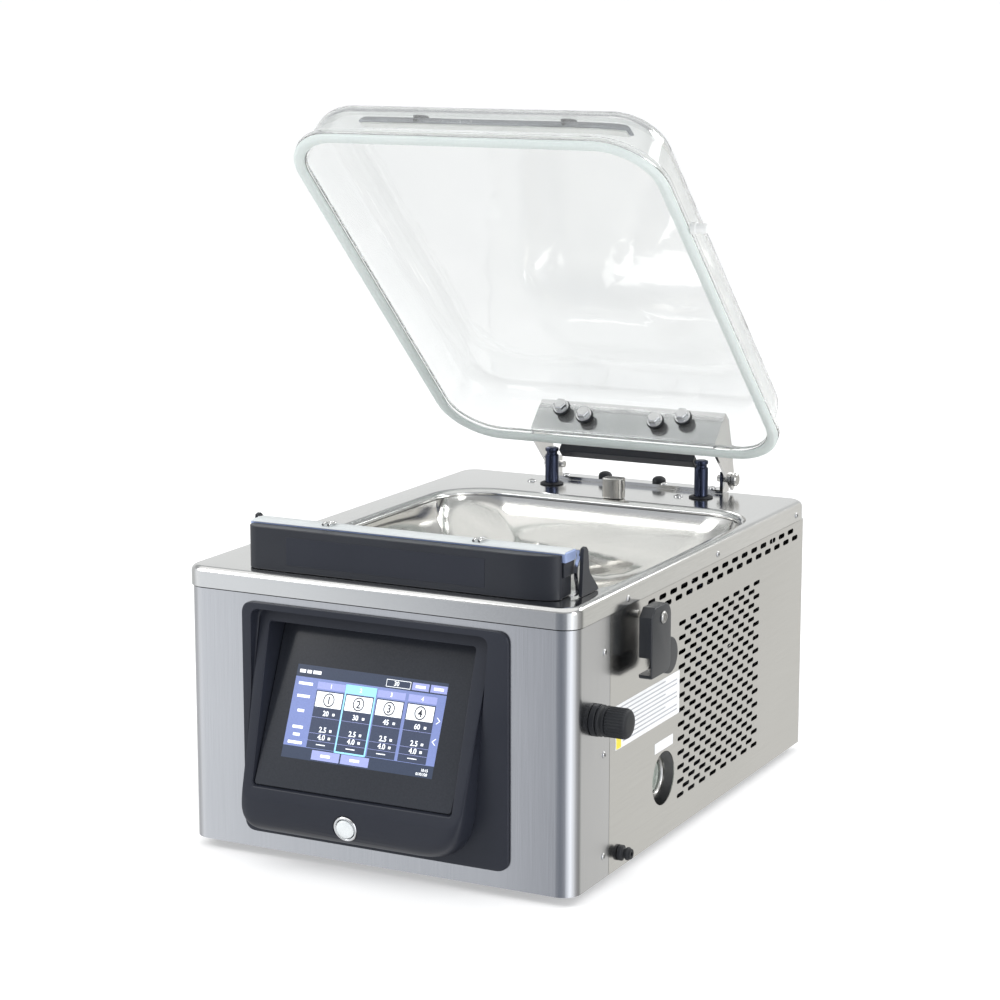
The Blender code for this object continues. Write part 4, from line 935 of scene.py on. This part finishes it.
def make_clip(side):
    """A wire hook for the bag: two legs over the bar, joined behind it by a half circle."""
    low, high = design_box(f"bag_clip_{side}")
    radius = CLIP_WIRE_R
    x, half = (low.x + high.x) / 2, (high.x - low.x) / 2 - radius
    top, front, rear, rest = high.z - radius, low.y + radius, high.y - radius, low.z + radius
    leg = [(front + 0.0001, rest), (front + 0.0010, top - 0.0006), (front + 0.0024, top),
           (front + 0.0046, rest + 0.0006), (rear - half - 0.002, rest)]
    path = [(x - half, y, z) for y, z in leg]
    path += [(x + a, rear - half + b, rest) for a, b in arc((0, 0), half, 180, 0, 6)]
    path += [(x + half, y, z) for y, z in reversed(leg)]
    piece(f"wire_clip_{side}", tube(smooth_path(path, 4), radius), BRIGHT_STEEL, f"clip_{side}",
          [f"bag_clip_{side}"])


def make_suction_cover():
    """The lift-off box over the suction opening, with a slit in its right-hand side."""
    low, high = design_box("suction_cover")
    plan = fillet(corners_of(low.x, low.y, high.x, high.y), 0.0030, steps=2)
    middle = (low.y + high.y) / 2
    slit = block((high.x - 0.004, middle - SLIT_HALF, low.z + SLIT_Z[0]),
                 (high.x + 0.002, middle + SLIT_HALF, low.z + SLIT_Z[1]))
    piece("suction_cap", cut_out(prism(plan, low.z, high.z), slit), CHAMPAGNE_STEEL, "suction_cover",
          ["suction_cover"], bevel=0.0012, sharp=30)


# --- Control panel ---

# The slopes of the frame's face and of the glass, each with a point (y, z) that it goes through
FRAME_SLOPE, FRAME_LOW = 0.24, (-0.026, 0.056)
GLASS_SLOPE, GLASS_LOW = 0.42, (-0.0215, 0.068)
PLATE_FRONT = -0.0030
GLASS_NORMAL = Vector((0, -1, GLASS_SLOPE)).normalized()
LCD_LEFT, LCD_WIDTH = -0.0770, 0.1340
LCD_TOP, LCD_TALL = 0.1580, 0.0680
# How far the layers of the lit page stand proud of the glass
LIFT_PAGE, LIFT_CELL, LIFT_FILL, LIFT_LINE, LIFT_MARK = 0.00006, 0.00012, 0.00018, 0.00020, 0.00030
BACK_LOW, BACK_HIGH, BACK_FOOT = 0.0540, 0.1975, 0.0017
SEAT_R, SEAT_DEEP, BORE_R, BORE_DEEP = 0.0108, 0.0012, 0.0083, 0.0125
COLLAR = ((0.0082, -0.0022), (0.0104, -0.0022), (0.0104, 0.0012), (0.0097, 0.0021), (0.0088, 0.0021),
          (0.0082, 0.0012))
COLLAR_R = (0, 0, 0.0004, 0.0005, 0.0004, 0.0004)
BUTTON_SHAPE = ((0.0, -0.0049), (0.0076, -0.0049), (0.0076, 0.0034), (0.0073, 0.0043), (0.0064, 0.0048),
                (0.0040, 0.0046), (0.0, 0.0045))


def frame_y(z):
    return FRAME_LOW[0] + FRAME_SLOPE * (z - FRAME_LOW[1])


def glass_y(z):
    return GLASS_LOW[0] + GLASS_SLOPE * (z - GLASS_LOW[1])


def quad_ring(left, right_top, right_low, low, high, radii, level, steps=8):
    """A four-sided outline with rounded corners, its heights above the cabinet's foot, set on a surface."""
    low, high = CABINET_LOW + low, CABINET_LOW + high
    outline = fillet([(left, high), (right_top, high), (right_low, low), (left, low)], radii, steps)
    return [Vector((x, level(z), z)) for x, z in outline]


def flat(level):
    return lambda z: level


def back_level(z):
    """The rear of the frame, which slopes from the cabinet's foot to behind the glass."""
    deep = glass_y(CABINET_LOW + BACK_HIGH) + 0.0055
    return BACK_FOOT + (deep - BACK_FOOT) * (z - CABINET_LOW - BACK_LOW) / (BACK_HIGH - BACK_LOW)


def make_bezel():
    """The moulded frame: a flush plate, a swelling flank and chin, and a recessed tilted opening."""
    plate_low, plate_high = design_box("control_bezel")
    half = plate_high.x
    plate = (-half, half, half, plate_low.z - CABINET_LOW, plate_high.z - CABINET_LOW, (0.0100,) * 4)
    tight = (0.0030,) * 4
    recess_back = (-0.1105, 0.1025, 0.1025, BACK_LOW, BACK_HIGH, tight)
    fold = quad_ring(-0.1085, 0.1005, 0.0860, 0.0165, 0.1955, (0.008, 0.008, 0.045, 0.014), flat(PLATE_FRONT))
    rim = quad_ring(-0.1055, 0.0975, 0.0855, 0.0490, 0.1925, (0.006, 0.006, 0.012, 0.008), frame_y)
    flank = []
    for share in (0.02, 0.05, 0.09, 0.14, 0.20, 0.28, 0.38, 0.50, 0.64, 0.80):
        rise = 1 - (1 - share) ** 5
        flank.append([Vector((a.x + (b.x - a.x) * share, a.y + (b.y - a.y) * rise, a.z + (b.z - a.z) * share))
                      for a, b in zip(fold, rim)])
    rings = [
        quad_ring(*recess_back, back_level),
        quad_ring(*recess_back, flat(-GAP)),
        quad_ring(*plate, flat(-GAP)),
        quad_ring(*plate, flat(PLATE_FRONT)),
        fold, *flank, rim,
        quad_ring(-0.0975, 0.0855, 0.0795, 0.0580, 0.1845, tight, frame_y),
        quad_ring(-0.0968, 0.0848, 0.0788, 0.0590, 0.1825, tight, lambda z: glass_y(z) + 0.0020),
    ]
    edge = len(rings) - 3
    shape = loft(soften(rings, {3: 0.0012, edge: 0.0018, edge + 1: 0.0009}, 5))
    low, high = design_box("button_ring")
    middle = (low + high) / 2
    axis = Vector(JOINTS["start_button_press"]["axis"])
    tools = [cylinder(radius, -0.02, deep, middle, axis) for radius, deep in
             ((SEAT_R, SEAT_DEEP), (BORE_R, BORE_DEEP))]
    piece("panel_frame", cut_out(shape, *tools), BEZEL_BLACK, stands_for=["control_bezel"], sharp=32)
    ring = fillet(COLLAR, COLLAR_R, steps=4)
    piece("button_collar", turned(ring + [ring[0]], middle, -axis, 64), CHROME, stands_for=["button_ring"])
    low, high = design_box("start_button")
    piece("button_face", turned(BUTTON_SHAPE, (low + high) / 2, -axis, 64), BUTTON, "start_button",
          ["start_button"], sharp=60)


def on_glass(u, v, lift=0.0):
    """A point of the display. u runs across the lit area and v down it, from 0 to 1."""
    z = LCD_TOP - LCD_TALL * v
    return Vector((LCD_LEFT + LCD_WIDTH * u, glass_y(z), z)) + GLASS_NORMAL * lift


def flat_patch(spots, lift):
    shape = bmesh.new()
    shape.faces.new([shape.verts.new(on_glass(u, v, lift)) for u, v in spots])
    return shape


def panel(u0, v0, u1, v1, lift=LIFT_CELL):
    """A flat lit patch of the display."""
    return flat_patch(corners_of(u0, v1, u1, v0), lift)


def mark(u, v, half_wide, half_tall):
    """A plain bar in place of a word, centred on u and v."""
    return panel(u - half_wide, v - half_tall, u + half_wide, v + half_tall, LIFT_MARK)


def outline_patch(u0, v0, u1, v1, width, lift=LIFT_LINE):
    tall = width * LCD_WIDTH / LCD_TALL
    return merge(panel(u0, v0, u1, v0 + tall, lift), panel(u0, v1 - tall, u1, v1, lift),
                 panel(u0, v0, u0 + width, v1, lift), panel(u1 - width, v0, u1, v1, lift))


def ring_patch(u, v, radius, width, lift=LIFT_MARK, steps=28):
    """A thin circle on the display, of a radius in metres."""
    shape = bmesh.new()
    turns = [2 * math.pi * step / steps for step in range(steps)]
    rows = []
    for size in (radius - width, radius):
        spots = [(size * math.cos(turn) / LCD_WIDTH, size * math.sin(turn) / LCD_TALL) for turn in turns]
        rows.append([shape.verts.new(on_glass(u + a, v - b, lift)) for a, b in spots])
    for index in range(steps):
        after = (index + 1) % steps
        shape.faces.new((rows[0][index], rows[1][index], rows[1][after], rows[0][after]))
    return shape


def figures(text, u, v, size, lift=LIFT_MARK):
    """A number on the display, centred on u and v, of a height in metres."""
    data = bpy.data.curves.new("figures", "FONT")
    data.body = text
    data.size = size
    data.offset = size * 0.022
    data.align_x, data.align_y = "CENTER", "CENTER"
    data.resolution_u = 3
    shape = apply_modifiers(to_scene("figures", data))
    for vertex in shape.verts:
        vertex.co = on_glass(u + vertex.co.x / LCD_WIDTH, v - vertex.co.y / LCD_TALL, lift)
    return shape


def chevron(u, v, direction):
    """An arrow head that points left or right."""
    reach, rise, wide = 0.010 * direction, 0.034, 0.007
    points = [(-reach, -rise), (reach, 0), (-reach, rise), (-reach + wide, rise), (reach + wide, 0),
              (-reach + wide, -rise)]
    return flat_patch([(u + a, v + b) for a, b in points], LIFT_MARK)


# The lit page. Places run from 0 to 1 across and down it, sizes of figures are in metres.
PAGE_BANDS = (0.13, 0.87)
COLUMNS = ((0.155, 0.340), (0.352, 0.540), (0.557, 0.740), (0.760, 0.945))
CHOSEN = 1
COLUMN_TIMES = ("20", "30", "45", "60")
KEYS = ((0.770, 0.035, 0.880, 0.115), (0.890, 0.035, 0.998, 0.115), (0.200, 0.885, 0.385, 0.985),
        (0.395, 0.885, 0.580, 0.985))
ROW_NAMES = ((0.200, 0.095), (0.335, 0.085), (0.490, 0.045), (0.665, 0.070), (0.745, 0.045), (0.830, 0.095))
TITLE = ((0.020, 0.060), (0.070, 0.100), (0.110, 0.165))
FIGURES = (("30", 0.668, 0.076, 0.0046), ("10:15", 0.945, 0.925, 0.0028), ("01/01/20", 0.930, 0.968, 0.0028))
GLASS_SIDES = (-0.0964, 0.0844, 0.0784, 0.0596, 0.1821)
GLASS_INNER = (-0.0958, 0.0838, 0.0779, 0.0601, 0.1816)
PAGE_COLOURS = {
    "page_navy": ((0.030, 0.042, 0.075), 0.55), "page_violet": ((0.155, 0.195, 0.400), 0.75),
    "page_header": ((0.270, 0.300, 0.560), 0.75), "page_cell": ((0.038, 0.050, 0.090), 0.55),
    "page_cyan": ((0.260, 0.560, 0.720), 0.90), "page_white": ((0.800, 0.830, 0.860), 0.95),
    "page_ink": ((0.030, 0.035, 0.050), 0.20),
}


def make_glass():
    front = quad_ring(*GLASS_SIDES, (0.003,) * 4, glass_y)
    inner = quad_ring(*GLASS_INNER, (0.0026,) * 4, glass_y)
    rim, back = [[point + Vector((0, deep, 0)) for point in front] for deep in (0.0006, 0.0017)]
    piece("touch_glass", loft([inner, rim, back]), GLASS, stands_for=["touch_display"], sharp=20)


def make_display():
    """A dark touch glass with a lit page: four columns of settings, the second one chosen."""
    make_glass()
    colours = {name: lit(name, *glow) for name, glow in PAGE_COLOURS.items()}
    top, foot = PAGE_BANDS
    heads, cells, whites, inks, lights = [], [], [], [], []
    for index, (u0, u1) in enumerate(COLUMNS):
        middle = (u0 + u1) / 2
        if index != CHOSEN:
            heads.append(panel(u0, 0.160, u1, 0.235))
        cells.append(panel(u0, 0.250, u1, 0.865))
        whites.append(panel(u0 + 0.006, 0.262, u1 - 0.006, 0.425, LIFT_FILL))
        lights.append(figures(str(index + 1), middle, 0.198, 0.0042))
        inks.append(figures(str(index + 1), middle, 0.350, 0.0078))
        inks.append(ring_patch(middle, 0.343, 0.0050, 0.0009))
        for text, v, size in ((COLUMN_TIMES[index], 0.490, 0.0052), ("2.5", 0.665, 0.0054),
                              ("4.0", 0.745, 0.0054)):
            lights.append(figures(text, middle - 0.004, v, size))
            lights.append(panel(middle + 0.040, v - 0.012, middle + 0.056, v + 0.014, LIFT_MARK))
        lights.append(mark(middle, 0.823, 0.030, 0.005))
        heads += [panel(u0, v, u1, v + 0.0035, LIFT_FILL) for v in (0.535, 0.705, 0.785)]
    for u0, v0, u1, v1 in KEYS:
        heads.append(panel(u0, v0, u1, v1))
        lights.append(mark((u0 + u1) / 2, (v0 + v1) / 2, 0.032, 0.014))
    lights += [mark(0.075, v, wide / 2, 0.015) for v, wide in ROW_NAMES]
    lights += [panel(u0, 0.052, u1, 0.088, LIFT_MARK) for u0, u1 in TITLE]
    lights.append(outline_patch(0.600, 0.035, 0.760, 0.115, 0.003))
    lights += [figures(*figure) for figure in FIGURES]
    lights += [chevron(0.972, 0.400, 1), chevron(0.968, 0.620, -1)]
    chosen = [panel(0.352, 0.150, 0.540, 0.245), outline_patch(0.343, 0.150, 0.549, 0.880, 0.009)]
    navy = [panel(0, 0, 1, top, LIFT_PAGE), panel(0, foot, 1, 1, LIFT_PAGE)]
    field = [panel(0, top, 1, foot, LIFT_PAGE)]
    for name, shapes, colour in (
            ("page_background", navy, "page_navy"), ("page_field", field, "page_violet"),
            ("page_heads", heads, "page_header"), ("page_cells", cells, "page_cell"),
            ("page_chosen", chosen, "page_cyan"), ("page_white_cells", whites, "page_white"),
            ("page_ink_marks", inks, "page_ink"), ("page_light_marks", lights, "page_white")):
        piece(name, merge(*shapes), colours[colour])


# --- Right-hand side fittings ---


LEVER_EDGE, LEVER_SKIN = 0.0010, 0.0008
LEVER_CHAMFER, LEVER_HEAD_R, LEVER_FOOT_R, LEVER_TOE_R = 0.0068, 0.0105, 0.0085, 0.0020
NOTCH_LOW, NOTCH_HIGH, NOTCH_R, NOTCH_REACH = 0.0032, 0.0168, 0.0068, 0.0165
PIVOT_BORE_R, PIVOT_SHANK_R, PIVOT_HEAD_R = 0.0034, 0.0031, 0.0050
STUB = ((0.0, -0.010), (0.0080, -0.010), (0.0080, GAP), (0.0125, GAP), (0.0125, 0.0042), (0.0105, 0.0048),
        (0.0, 0.0048))
STUB_R = (0, 0, 0, 0.0005, 0.0008, 0.0005, 0)
# The foot of the outlet's cap and of its ribbed barrel: (share of the radius, height)
CAP_FOOT = ((0.0, 0.0), (0.96, 0.0), (1.0, 0.0008), (1.0, 0.0018), (0.88, 0.0026), (0.86, 0.0042),
            (0.98, 0.0050), (0.98, 0.0060), (0.86, 0.0068), (0.94, 0.0078))
SPIGOT = ((0.0, -0.006), (0.0038, -0.006), (0.0038, GAP), (0.0062, GAP), (0.0062, 0.0030), (0.0046, 0.0038),
          (0.0040, 0.0046), (0.0040, 0.0058), (0.0052, 0.0066), (0.0052, 0.0080), (0.0044, 0.0090),
          (0.0040, 0.0105), (0.0018, 0.0105), (0.0018, 0.0060), (0.0, 0.0060))
SIGHT_RING = ((0.66, 0.0), (0.96, 0.0), (1.0, 0.6), (0.9, 1.0), (0.72, 1.0), (0.66, 0.8))
SIGHT_LENS = ((0.0, 0.0), (0.64, 0.0), (0.64, 0.62), (0.4, 0.74), (0.0, 0.78))
OIL_MARK = (-0.002, 0.0205, 0.004, 0.029)
STICKER, STICKER_THIN, STICKER_LINE = 0.00018, 0.00006, 0.0011


def lever_outline(low, high, inset):
    """The lever seen from the side: a chamfered front, a rounded head and a rounded foot."""
    front, back, foot, head = low.y + inset, high.y - inset, low.z + inset, high.z - inset
    points = [(front, head - LEVER_CHAMFER), (low.y + LEVER_CHAMFER + inset, head)]
    points += arc((back - LEVER_HEAD_R, head - LEVER_HEAD_R), LEVER_HEAD_R, 90, 0, 14)
    points += arc((back - LEVER_FOOT_R, foot + LEVER_FOOT_R), LEVER_FOOT_R, 0, -90, 12)
    return points + arc((front + LEVER_TOE_R, foot + LEVER_TOE_R), LEVER_TOE_R, 270, 180, 5)


def make_latch():
    """The lock lever with the notch that takes the lid's pin, its screw and the boss behind it."""
    low, high = design_box("latch_lever")
    rings = []
    for side, sign, angles in ((low.x, 1, (0, 30, 60, 90)), (high.x, -1, (90, 60, 30, 0))):
        for turn in [math.radians(angle) for angle in angles]:
            level = side + sign * LEVER_EDGE * (1 - math.cos(turn))
            outline = lever_outline(low, high, LEVER_EDGE * (1 - math.sin(turn)))
            rings.append([(level, y, z) for y, z in outline])
    start, reach, floor = low.y - 0.01, low.y + NOTCH_REACH, low.z + NOTCH_LOW
    notch = [(start, low.z + NOTCH_HIGH), (start, floor), (reach, floor)]
    notch += arc((reach, floor + NOTCH_R), NOTCH_R, -90, 90, 16)[1:]
    pivot = Vector(JOINTS["latch_turn"]["pos_m"]) - ORIGIN
    bore = cylinder(PIVOT_BORE_R, -0.02, 0.04, pivot, RIGHT, 32)
    lever = cut_out(loft(rings), prism(notch, low.x - 0.01, high.x - LEVER_SKIN, "yz"), bore)
    piece("lock_lever", lever, LATCH_BLACK, "latch_lever", ["latch_lever"], sharp=32)
    seat = Vector((high.x + GAP, pivot.y, pivot.z))
    screw = merge(screw_head(seat, RIGHT, PIVOT_HEAD_R, slot=True),
                  cylinder(PIVOT_SHANK_R, -0.018, 0.0, seat, RIGHT))
    piece("lock_screw", screw, SATIN_STEEL, stands_for=["latch_screw"])
    seat, radius, tall = round_node("latch_boss", "x")
    disc = fillet(corners_of(0.0, 0.0, radius, tall), (0, 0.0004, 0.0014, 0), closed=False)
    piece("lock_boss", turned(disc, seat, RIGHT, 64), LATCH_BLACK, stands_for=["latch_boss"])


def make_outlet():
    """The outlet's stub and ribbed cap, and the small drain below."""
    seat = round_node("exhaust_stub", "x")[0]
    stub = turned(fillet(STUB, STUB_R, closed=False), (HALF_WIDTH, seat.y, seat.z), RIGHT)
    piece("outlet_stub", stub, RUBBER, stands_for=["exhaust_stub"])
    foot, radius, reach = round_node("nozzle_cap", "x")
    profile = [(radius * share, height) for share, height in CAP_FOOT]
    profile += [(radius * 0.94, 0.0078 + (reach - 0.0110) * step / 6) for step in range(1, 7)]
    profile += [(radius * 0.90, reach - 0.0014), (radius * 0.80, reach - 0.0003), (radius * 0.5, reach),
                (0.0, reach)]
    cap = turned(profile, (foot.x, seat.y, seat.z), RIGHT, 180, ribs=30, rib_depth=0.00035,
                 ribbed=(0.0074, reach - 0.0020))
    piece("outlet_cap", cap, RUBBER, "nozzle_cap", ["nozzle_cap"], sharp=60)
    seat = round_node("drain_spigot", "x")[0]
    spigot = turned(fillet(SPIGOT, 0.0003, closed=False, steps=2), (HALF_WIDTH, seat.y, seat.z), RIGHT)
    piece("drain_nipple", spigot, RUBBER, stands_for=["drain_spigot"])


def make_sight():
    """The oil window of the pump, seen through the round opening, with its level mark."""
    seat, radius, tall = round_node("oil_sight_glass", "x")
    ring = fillet([(radius * wide, tall * high) for wide, high in SIGHT_RING], 0.0008, steps=3)
    piece("sight_ring", turned(ring + [ring[0]], seat, RIGHT), SATIN_STEEL, stands_for=["oil_sight_glass"])
    lens = [(radius * wide, tall * high) for wide, high in SIGHT_LENS]
    piece("sight_lens", turned(lens, seat, RIGHT), SIGHT)
    y0, z0, y1, z1 = OIL_MARK
    outline = fillet(corners_of(seat.y + y0, seat.z + z0, seat.y + y1, seat.z + z1), 0.0006)
    piece("oil_level_mark", prism(outline, seat.x - 0.0002, seat.x + 0.0004, "yz"), ORANGE)


def make_labels():
    """Blank stickers: their print is left out, apart from plain lines."""
    for name, sides, surface, lift, thick in (
            ("sticker_wide", (0.075, 0.1045, 0.198, 0.1400), LABEL, 0.0, STICKER),
            ("sticker_corner", (0.0760, 0.1050, 0.0850, 0.1200), LABEL_YELLOW, STICKER, STICKER_THIN),
            ("sticker_small", (0.150, 0.0815, 0.186, 0.0900), LABEL, 0.0, STICKER)):
        outline = fillet(corners_of(*sides), 0.001)
        piece(name, prism(outline, HALF_WIDTH + lift, HALF_WIDTH + lift + thick, "yz"), surface)
    lines = []
    for row in range(9):
        z = 0.1365 - 0.0035 * row
        start = 0.080 if z > 0.122 else 0.088
        end = 0.193 if row % 3 else 0.170
        lines.append(prism(corners_of(start, z, end, z + STICKER_LINE), HALF_WIDTH + STICKER,
                           HALF_WIDTH + STICKER + STICKER_THIN, "yz"))
    piece("sticker_lines", merge(*lines), LABEL_GREY)


# --- Underneath, behind and inside ---


GUARD_RISE, GUARD_RINGS = 0.0006, (0.010, 0.018, 0.026, 0.034)
GUARD_REACH, GUARD_SCREW_AT, GUARD_SCREW_R = 0.0425, 0.0430, 0.0024
RING_WIRE_R, SPOKE_WIRE_R = 0.0007, 0.0008
FILTER_R, FILTER_THICK, FILTER_DEEP = 0.0366, 0.0012, 0.0014


def make_feet():
    for name in [f"foot_{end}_{side}" for end in ("front", "rear") for side in ("left", "right")]:
        seat, radius, tall = round_node(name)
        profile = fillet([(0.0, 0.0), (radius * 0.86, 0.0), (radius, tall * 0.2), (radius * 0.94, tall),
                          (0.0, tall)], 0.0012, closed=False)
        piece(f"{name}_pad", turned(profile, (seat.x, seat.y, 0.0)), RUBBER, stands_for=[name])


def make_rear():
    """A wire guard over the fan's opening, and the foam filter disc behind it."""
    low, high = design_box("fan_ring")
    middle, y = (low + high) / 2, DEPTH + GUARD_RISE
    rings = []
    for size in GUARD_RINGS:
        circle = arc((0, 0), size, 0, 360, 48)[:-1]
        rings.append(tube([(middle.x + a, y, middle.z + b) for a, b in circle], RING_WIRE_R, 8, closed=True))
    for a, b in arc((0, 0), 1.0, 45, 315, 3):
        spoke = [(middle.x + reach * a, y, middle.z + reach * b) for reach in (GUARD_RINGS[0], GUARD_REACH)]
        rings.append(tube(spoke, SPOKE_WIRE_R, 8))
        spot = (middle.x + GUARD_SCREW_AT * a, DEPTH, middle.z + GUARD_SCREW_AT * b)
        rings.append(screw_head(spot, BACKWARD, GUARD_SCREW_R))
    piece("fan_guard", merge(*rings), BRIGHT_STEEL)
    foam = cylinder(FILTER_R, 0.0, FILTER_THICK, (middle.x, DEPTH - FILTER_DEEP, middle.z), BACKWARD, 64)
    piece("fan_filter", foam, RUBBER)


CARRIED = {
    "base_pan": PAN_STEEL, "rear_panel": PAN_STEEL, "lid_bracket": BRIGHT_STEEL, "hinge_base": BRIGHT_STEEL,
    "hinge_pin_left": SATIN_STEEL, "hinge_pin_right": SATIN_STEEL, "lid_cross_bar": BLACK,
    "gas_cylinder_left": ROD_METAL, "gas_cylinder_right": ROD_METAL, "vacuum_pump": CAST, "pump_motor": CAST,
    "vacuum_hose": RUBBER, "transformer": IRON, "control_board": BOARD, "fan_ring": BLACK, "fan_rotor": BLACK,
    "power_inlet": BLACK,
}


def dress_carried_nodes():
    """The CAD nodes that stay get the finished materials."""
    for node, surface in CARRIED.items():
        shown = NODES[node]
        for place in shown.material_slots:
            place.material = surface


# --- Studio ---


def area_light(name, place, size, power):
    data = bpy.data.lights.new(name, "AREA")
    data.shape = "RECTANGLE"
    data.size, data.size_y = size
    data.energy = power
    lamp = to_scene(name, data)
    lamp.location = place
    lamp.rotation_euler = (Vector(LIGHT_TARGET) - Vector(place)).to_track_quat("-Z", "Y").to_euler()


# The light round the object by compass bearing, as (bearing in degrees, red, green, blue). 0 is straight
# in front of the panel and 90 is on its right-hand side.
SKY_RING = (
    (-180, 0.74, 0.75, 0.75), (-150, 0.86, 0.87, 0.87), (-95, 0.60, 0.61, 0.62), (-60, 0.98, 1.00, 1.03),
    (-34, 0.94, 0.97, 1.01), (-25, 0.50, 0.52, 0.56), (-14, 0.30, 0.32, 0.36), (8, 0.24, 0.26, 0.30),
    (32, 0.34, 0.36, 0.40), (48, 1.05, 1.09, 1.16), (66, 1.50, 1.55, 1.62), (84, 1.05, 1.07, 1.10),
    (106, 0.46, 0.46, 0.46), (128, 0.30, 0.30, 0.29), (144, 0.66, 0.66, 0.63), (160, 0.80, 0.79, 0.76),
    (180, 0.74, 0.75, 0.75))
# What the walls fade to: (the sine of the elevation at the start and the end of the fade, colour)
SKY_BAND = (0.34, 0.50, 0.42, 0.43, 0.44)
SKY_TOP = (0.62, 0.80, 1.15, 1.15, 1.15)
SKY_FOOT = (0.45, 0.90, 0.60, 0.60, 0.60)
LIGHTS = (("key_light", (-1.9, -1.6, 1.9), (1.6, 1.2), 30), ("rim_light", (1.4, 1.9, 1.7), (1.6, 0.8), 22),
          ("side_light", (2.2, -0.6, 0.9), (0.6, 1.4), 10))
FLOOR_HALF = 400.0
LIGHT_TARGET = (0.0, 0.0, 0.25)


def make_sky():
    """Walls of light and shade round the object, a darker band above, bright overhead, grey below."""
    world = bpy.data.worlds.new("studio_sky")
    bpy.context.scene.world = world
    world.use_nodes = True
    tree = world.node_tree
    link = tree.links.new

    def maths(operation, *inputs):
        made = add_node(tree, "Math")
        made.operation = operation
        for socket, value in zip(made.inputs, inputs):
            if isinstance(value, float):
                socket.default_value = value
            else:
                link(value, socket)
        return made.outputs[0]

    def blend(share, first, second):
        made = add_node(tree, "Mix")
        made.data_type = "RGBA"
        link(share, made.inputs["Factor"])
        link(first, made.inputs["A"])
        made.inputs["B"].default_value = (*second, 1)
        return made.outputs["Result"]

    def fade_to(first, level, start, end, *colour):
        made = add_node(tree, "MapRange", From_Min=start, From_Max=end)
        made.interpolation_type = "SMOOTHSTEP"
        link(level, made.inputs["Value"])
        return blend(made.outputs["Result"], first, colour)

    direction, split = add_node(tree, "TexCoord"), add_node(tree, "SeparateXYZ")
    link(direction.outputs["Generated"], split.inputs["Vector"])
    across, along, height = split.outputs
    bearing = maths("ARCTAN2", across, maths("MULTIPLY", along, -1.0))
    turn = maths("MULTIPLY_ADD", bearing, 0.5 / math.pi, 0.5)
    walls = add_node(tree, "ValToRGB")
    stops = walls.color_ramp.elements
    walls.color_ramp.interpolation = "EASE"
    for index, (angle, *tone) in enumerate(SKY_RING):
        place = (angle + 180) / 360
        stop = stops[0] if index == 0 else stops[-1] if index == len(SKY_RING) - 1 else stops.new(place)
        stop.position = place
        stop.color = (*tone, 1)
    link(turn, walls.inputs["Fac"])
    ring = fade_to(walls.outputs["Color"], height, *SKY_BAND)
    ring = fade_to(ring, height, *SKY_TOP)
    ring = fade_to(ring, maths("MULTIPLY", height, -1.0), *SKY_FOOT)
    backdrop = blend(add_node(tree, "LightPath").outputs["Is Camera Ray"], ring, (1, 1, 1))
    link(backdrop, tree.nodes["Background"].inputs["Color"])


def make_studio():
    """A wide pale floor, the light walls and three soft lights."""
    shape = bmesh.new()
    bmesh.ops.create_grid(shape, x_segments=8, y_segments=8, size=FLOOR_HALF)
    floor = to_scene("studio_floor", mesh_of("studio_floor", shape))
    paper = look("floor_paper", "white_plastic", (0.88, 0.88, 0.88), (0.90, 0.90, 0.90), (0.70, 0.85),
                 grain=40.0, cloud=1.0, bump=0.0, depth=0.0002, Emission_Strength=0.28)
    floor.data.materials.append(paper)
    floor.visible_glossy = False
    make_sky()
    for light in LIGHTS:
        area_light(*light)
    bpy.context.scene.view_settings.view_transform = "Standard"


CAMERA_PLACE = (0.9632, -1.9241, 0.6815)
CAMERA_TURN = (78.926, 0.0, 27.081)
CAMERA_LENS = 94.83


def make_camera():
    data = bpy.data.cameras.new("camera")
    data.lens = CAMERA_LENS
    data.sensor_width = 36
    camera = to_scene("camera", data)
    camera.location = CAMERA_PLACE
    camera.rotation_euler = [math.radians(angle) for angle in CAMERA_TURN]
    bpy.context.scene.camera = camera


make_camera()
make_studio()
make_front_panel()
make_side_covers()
make_screws()
make_deck()
make_bowl()
make_lid()
make_hinge()
make_seal_unit()
make_suction_cover()
make_bezel()
make_display()
make_latch()
make_outlet()
make_sight()
make_labels()
make_feet()
make_rear()
dress_carried_nodes()
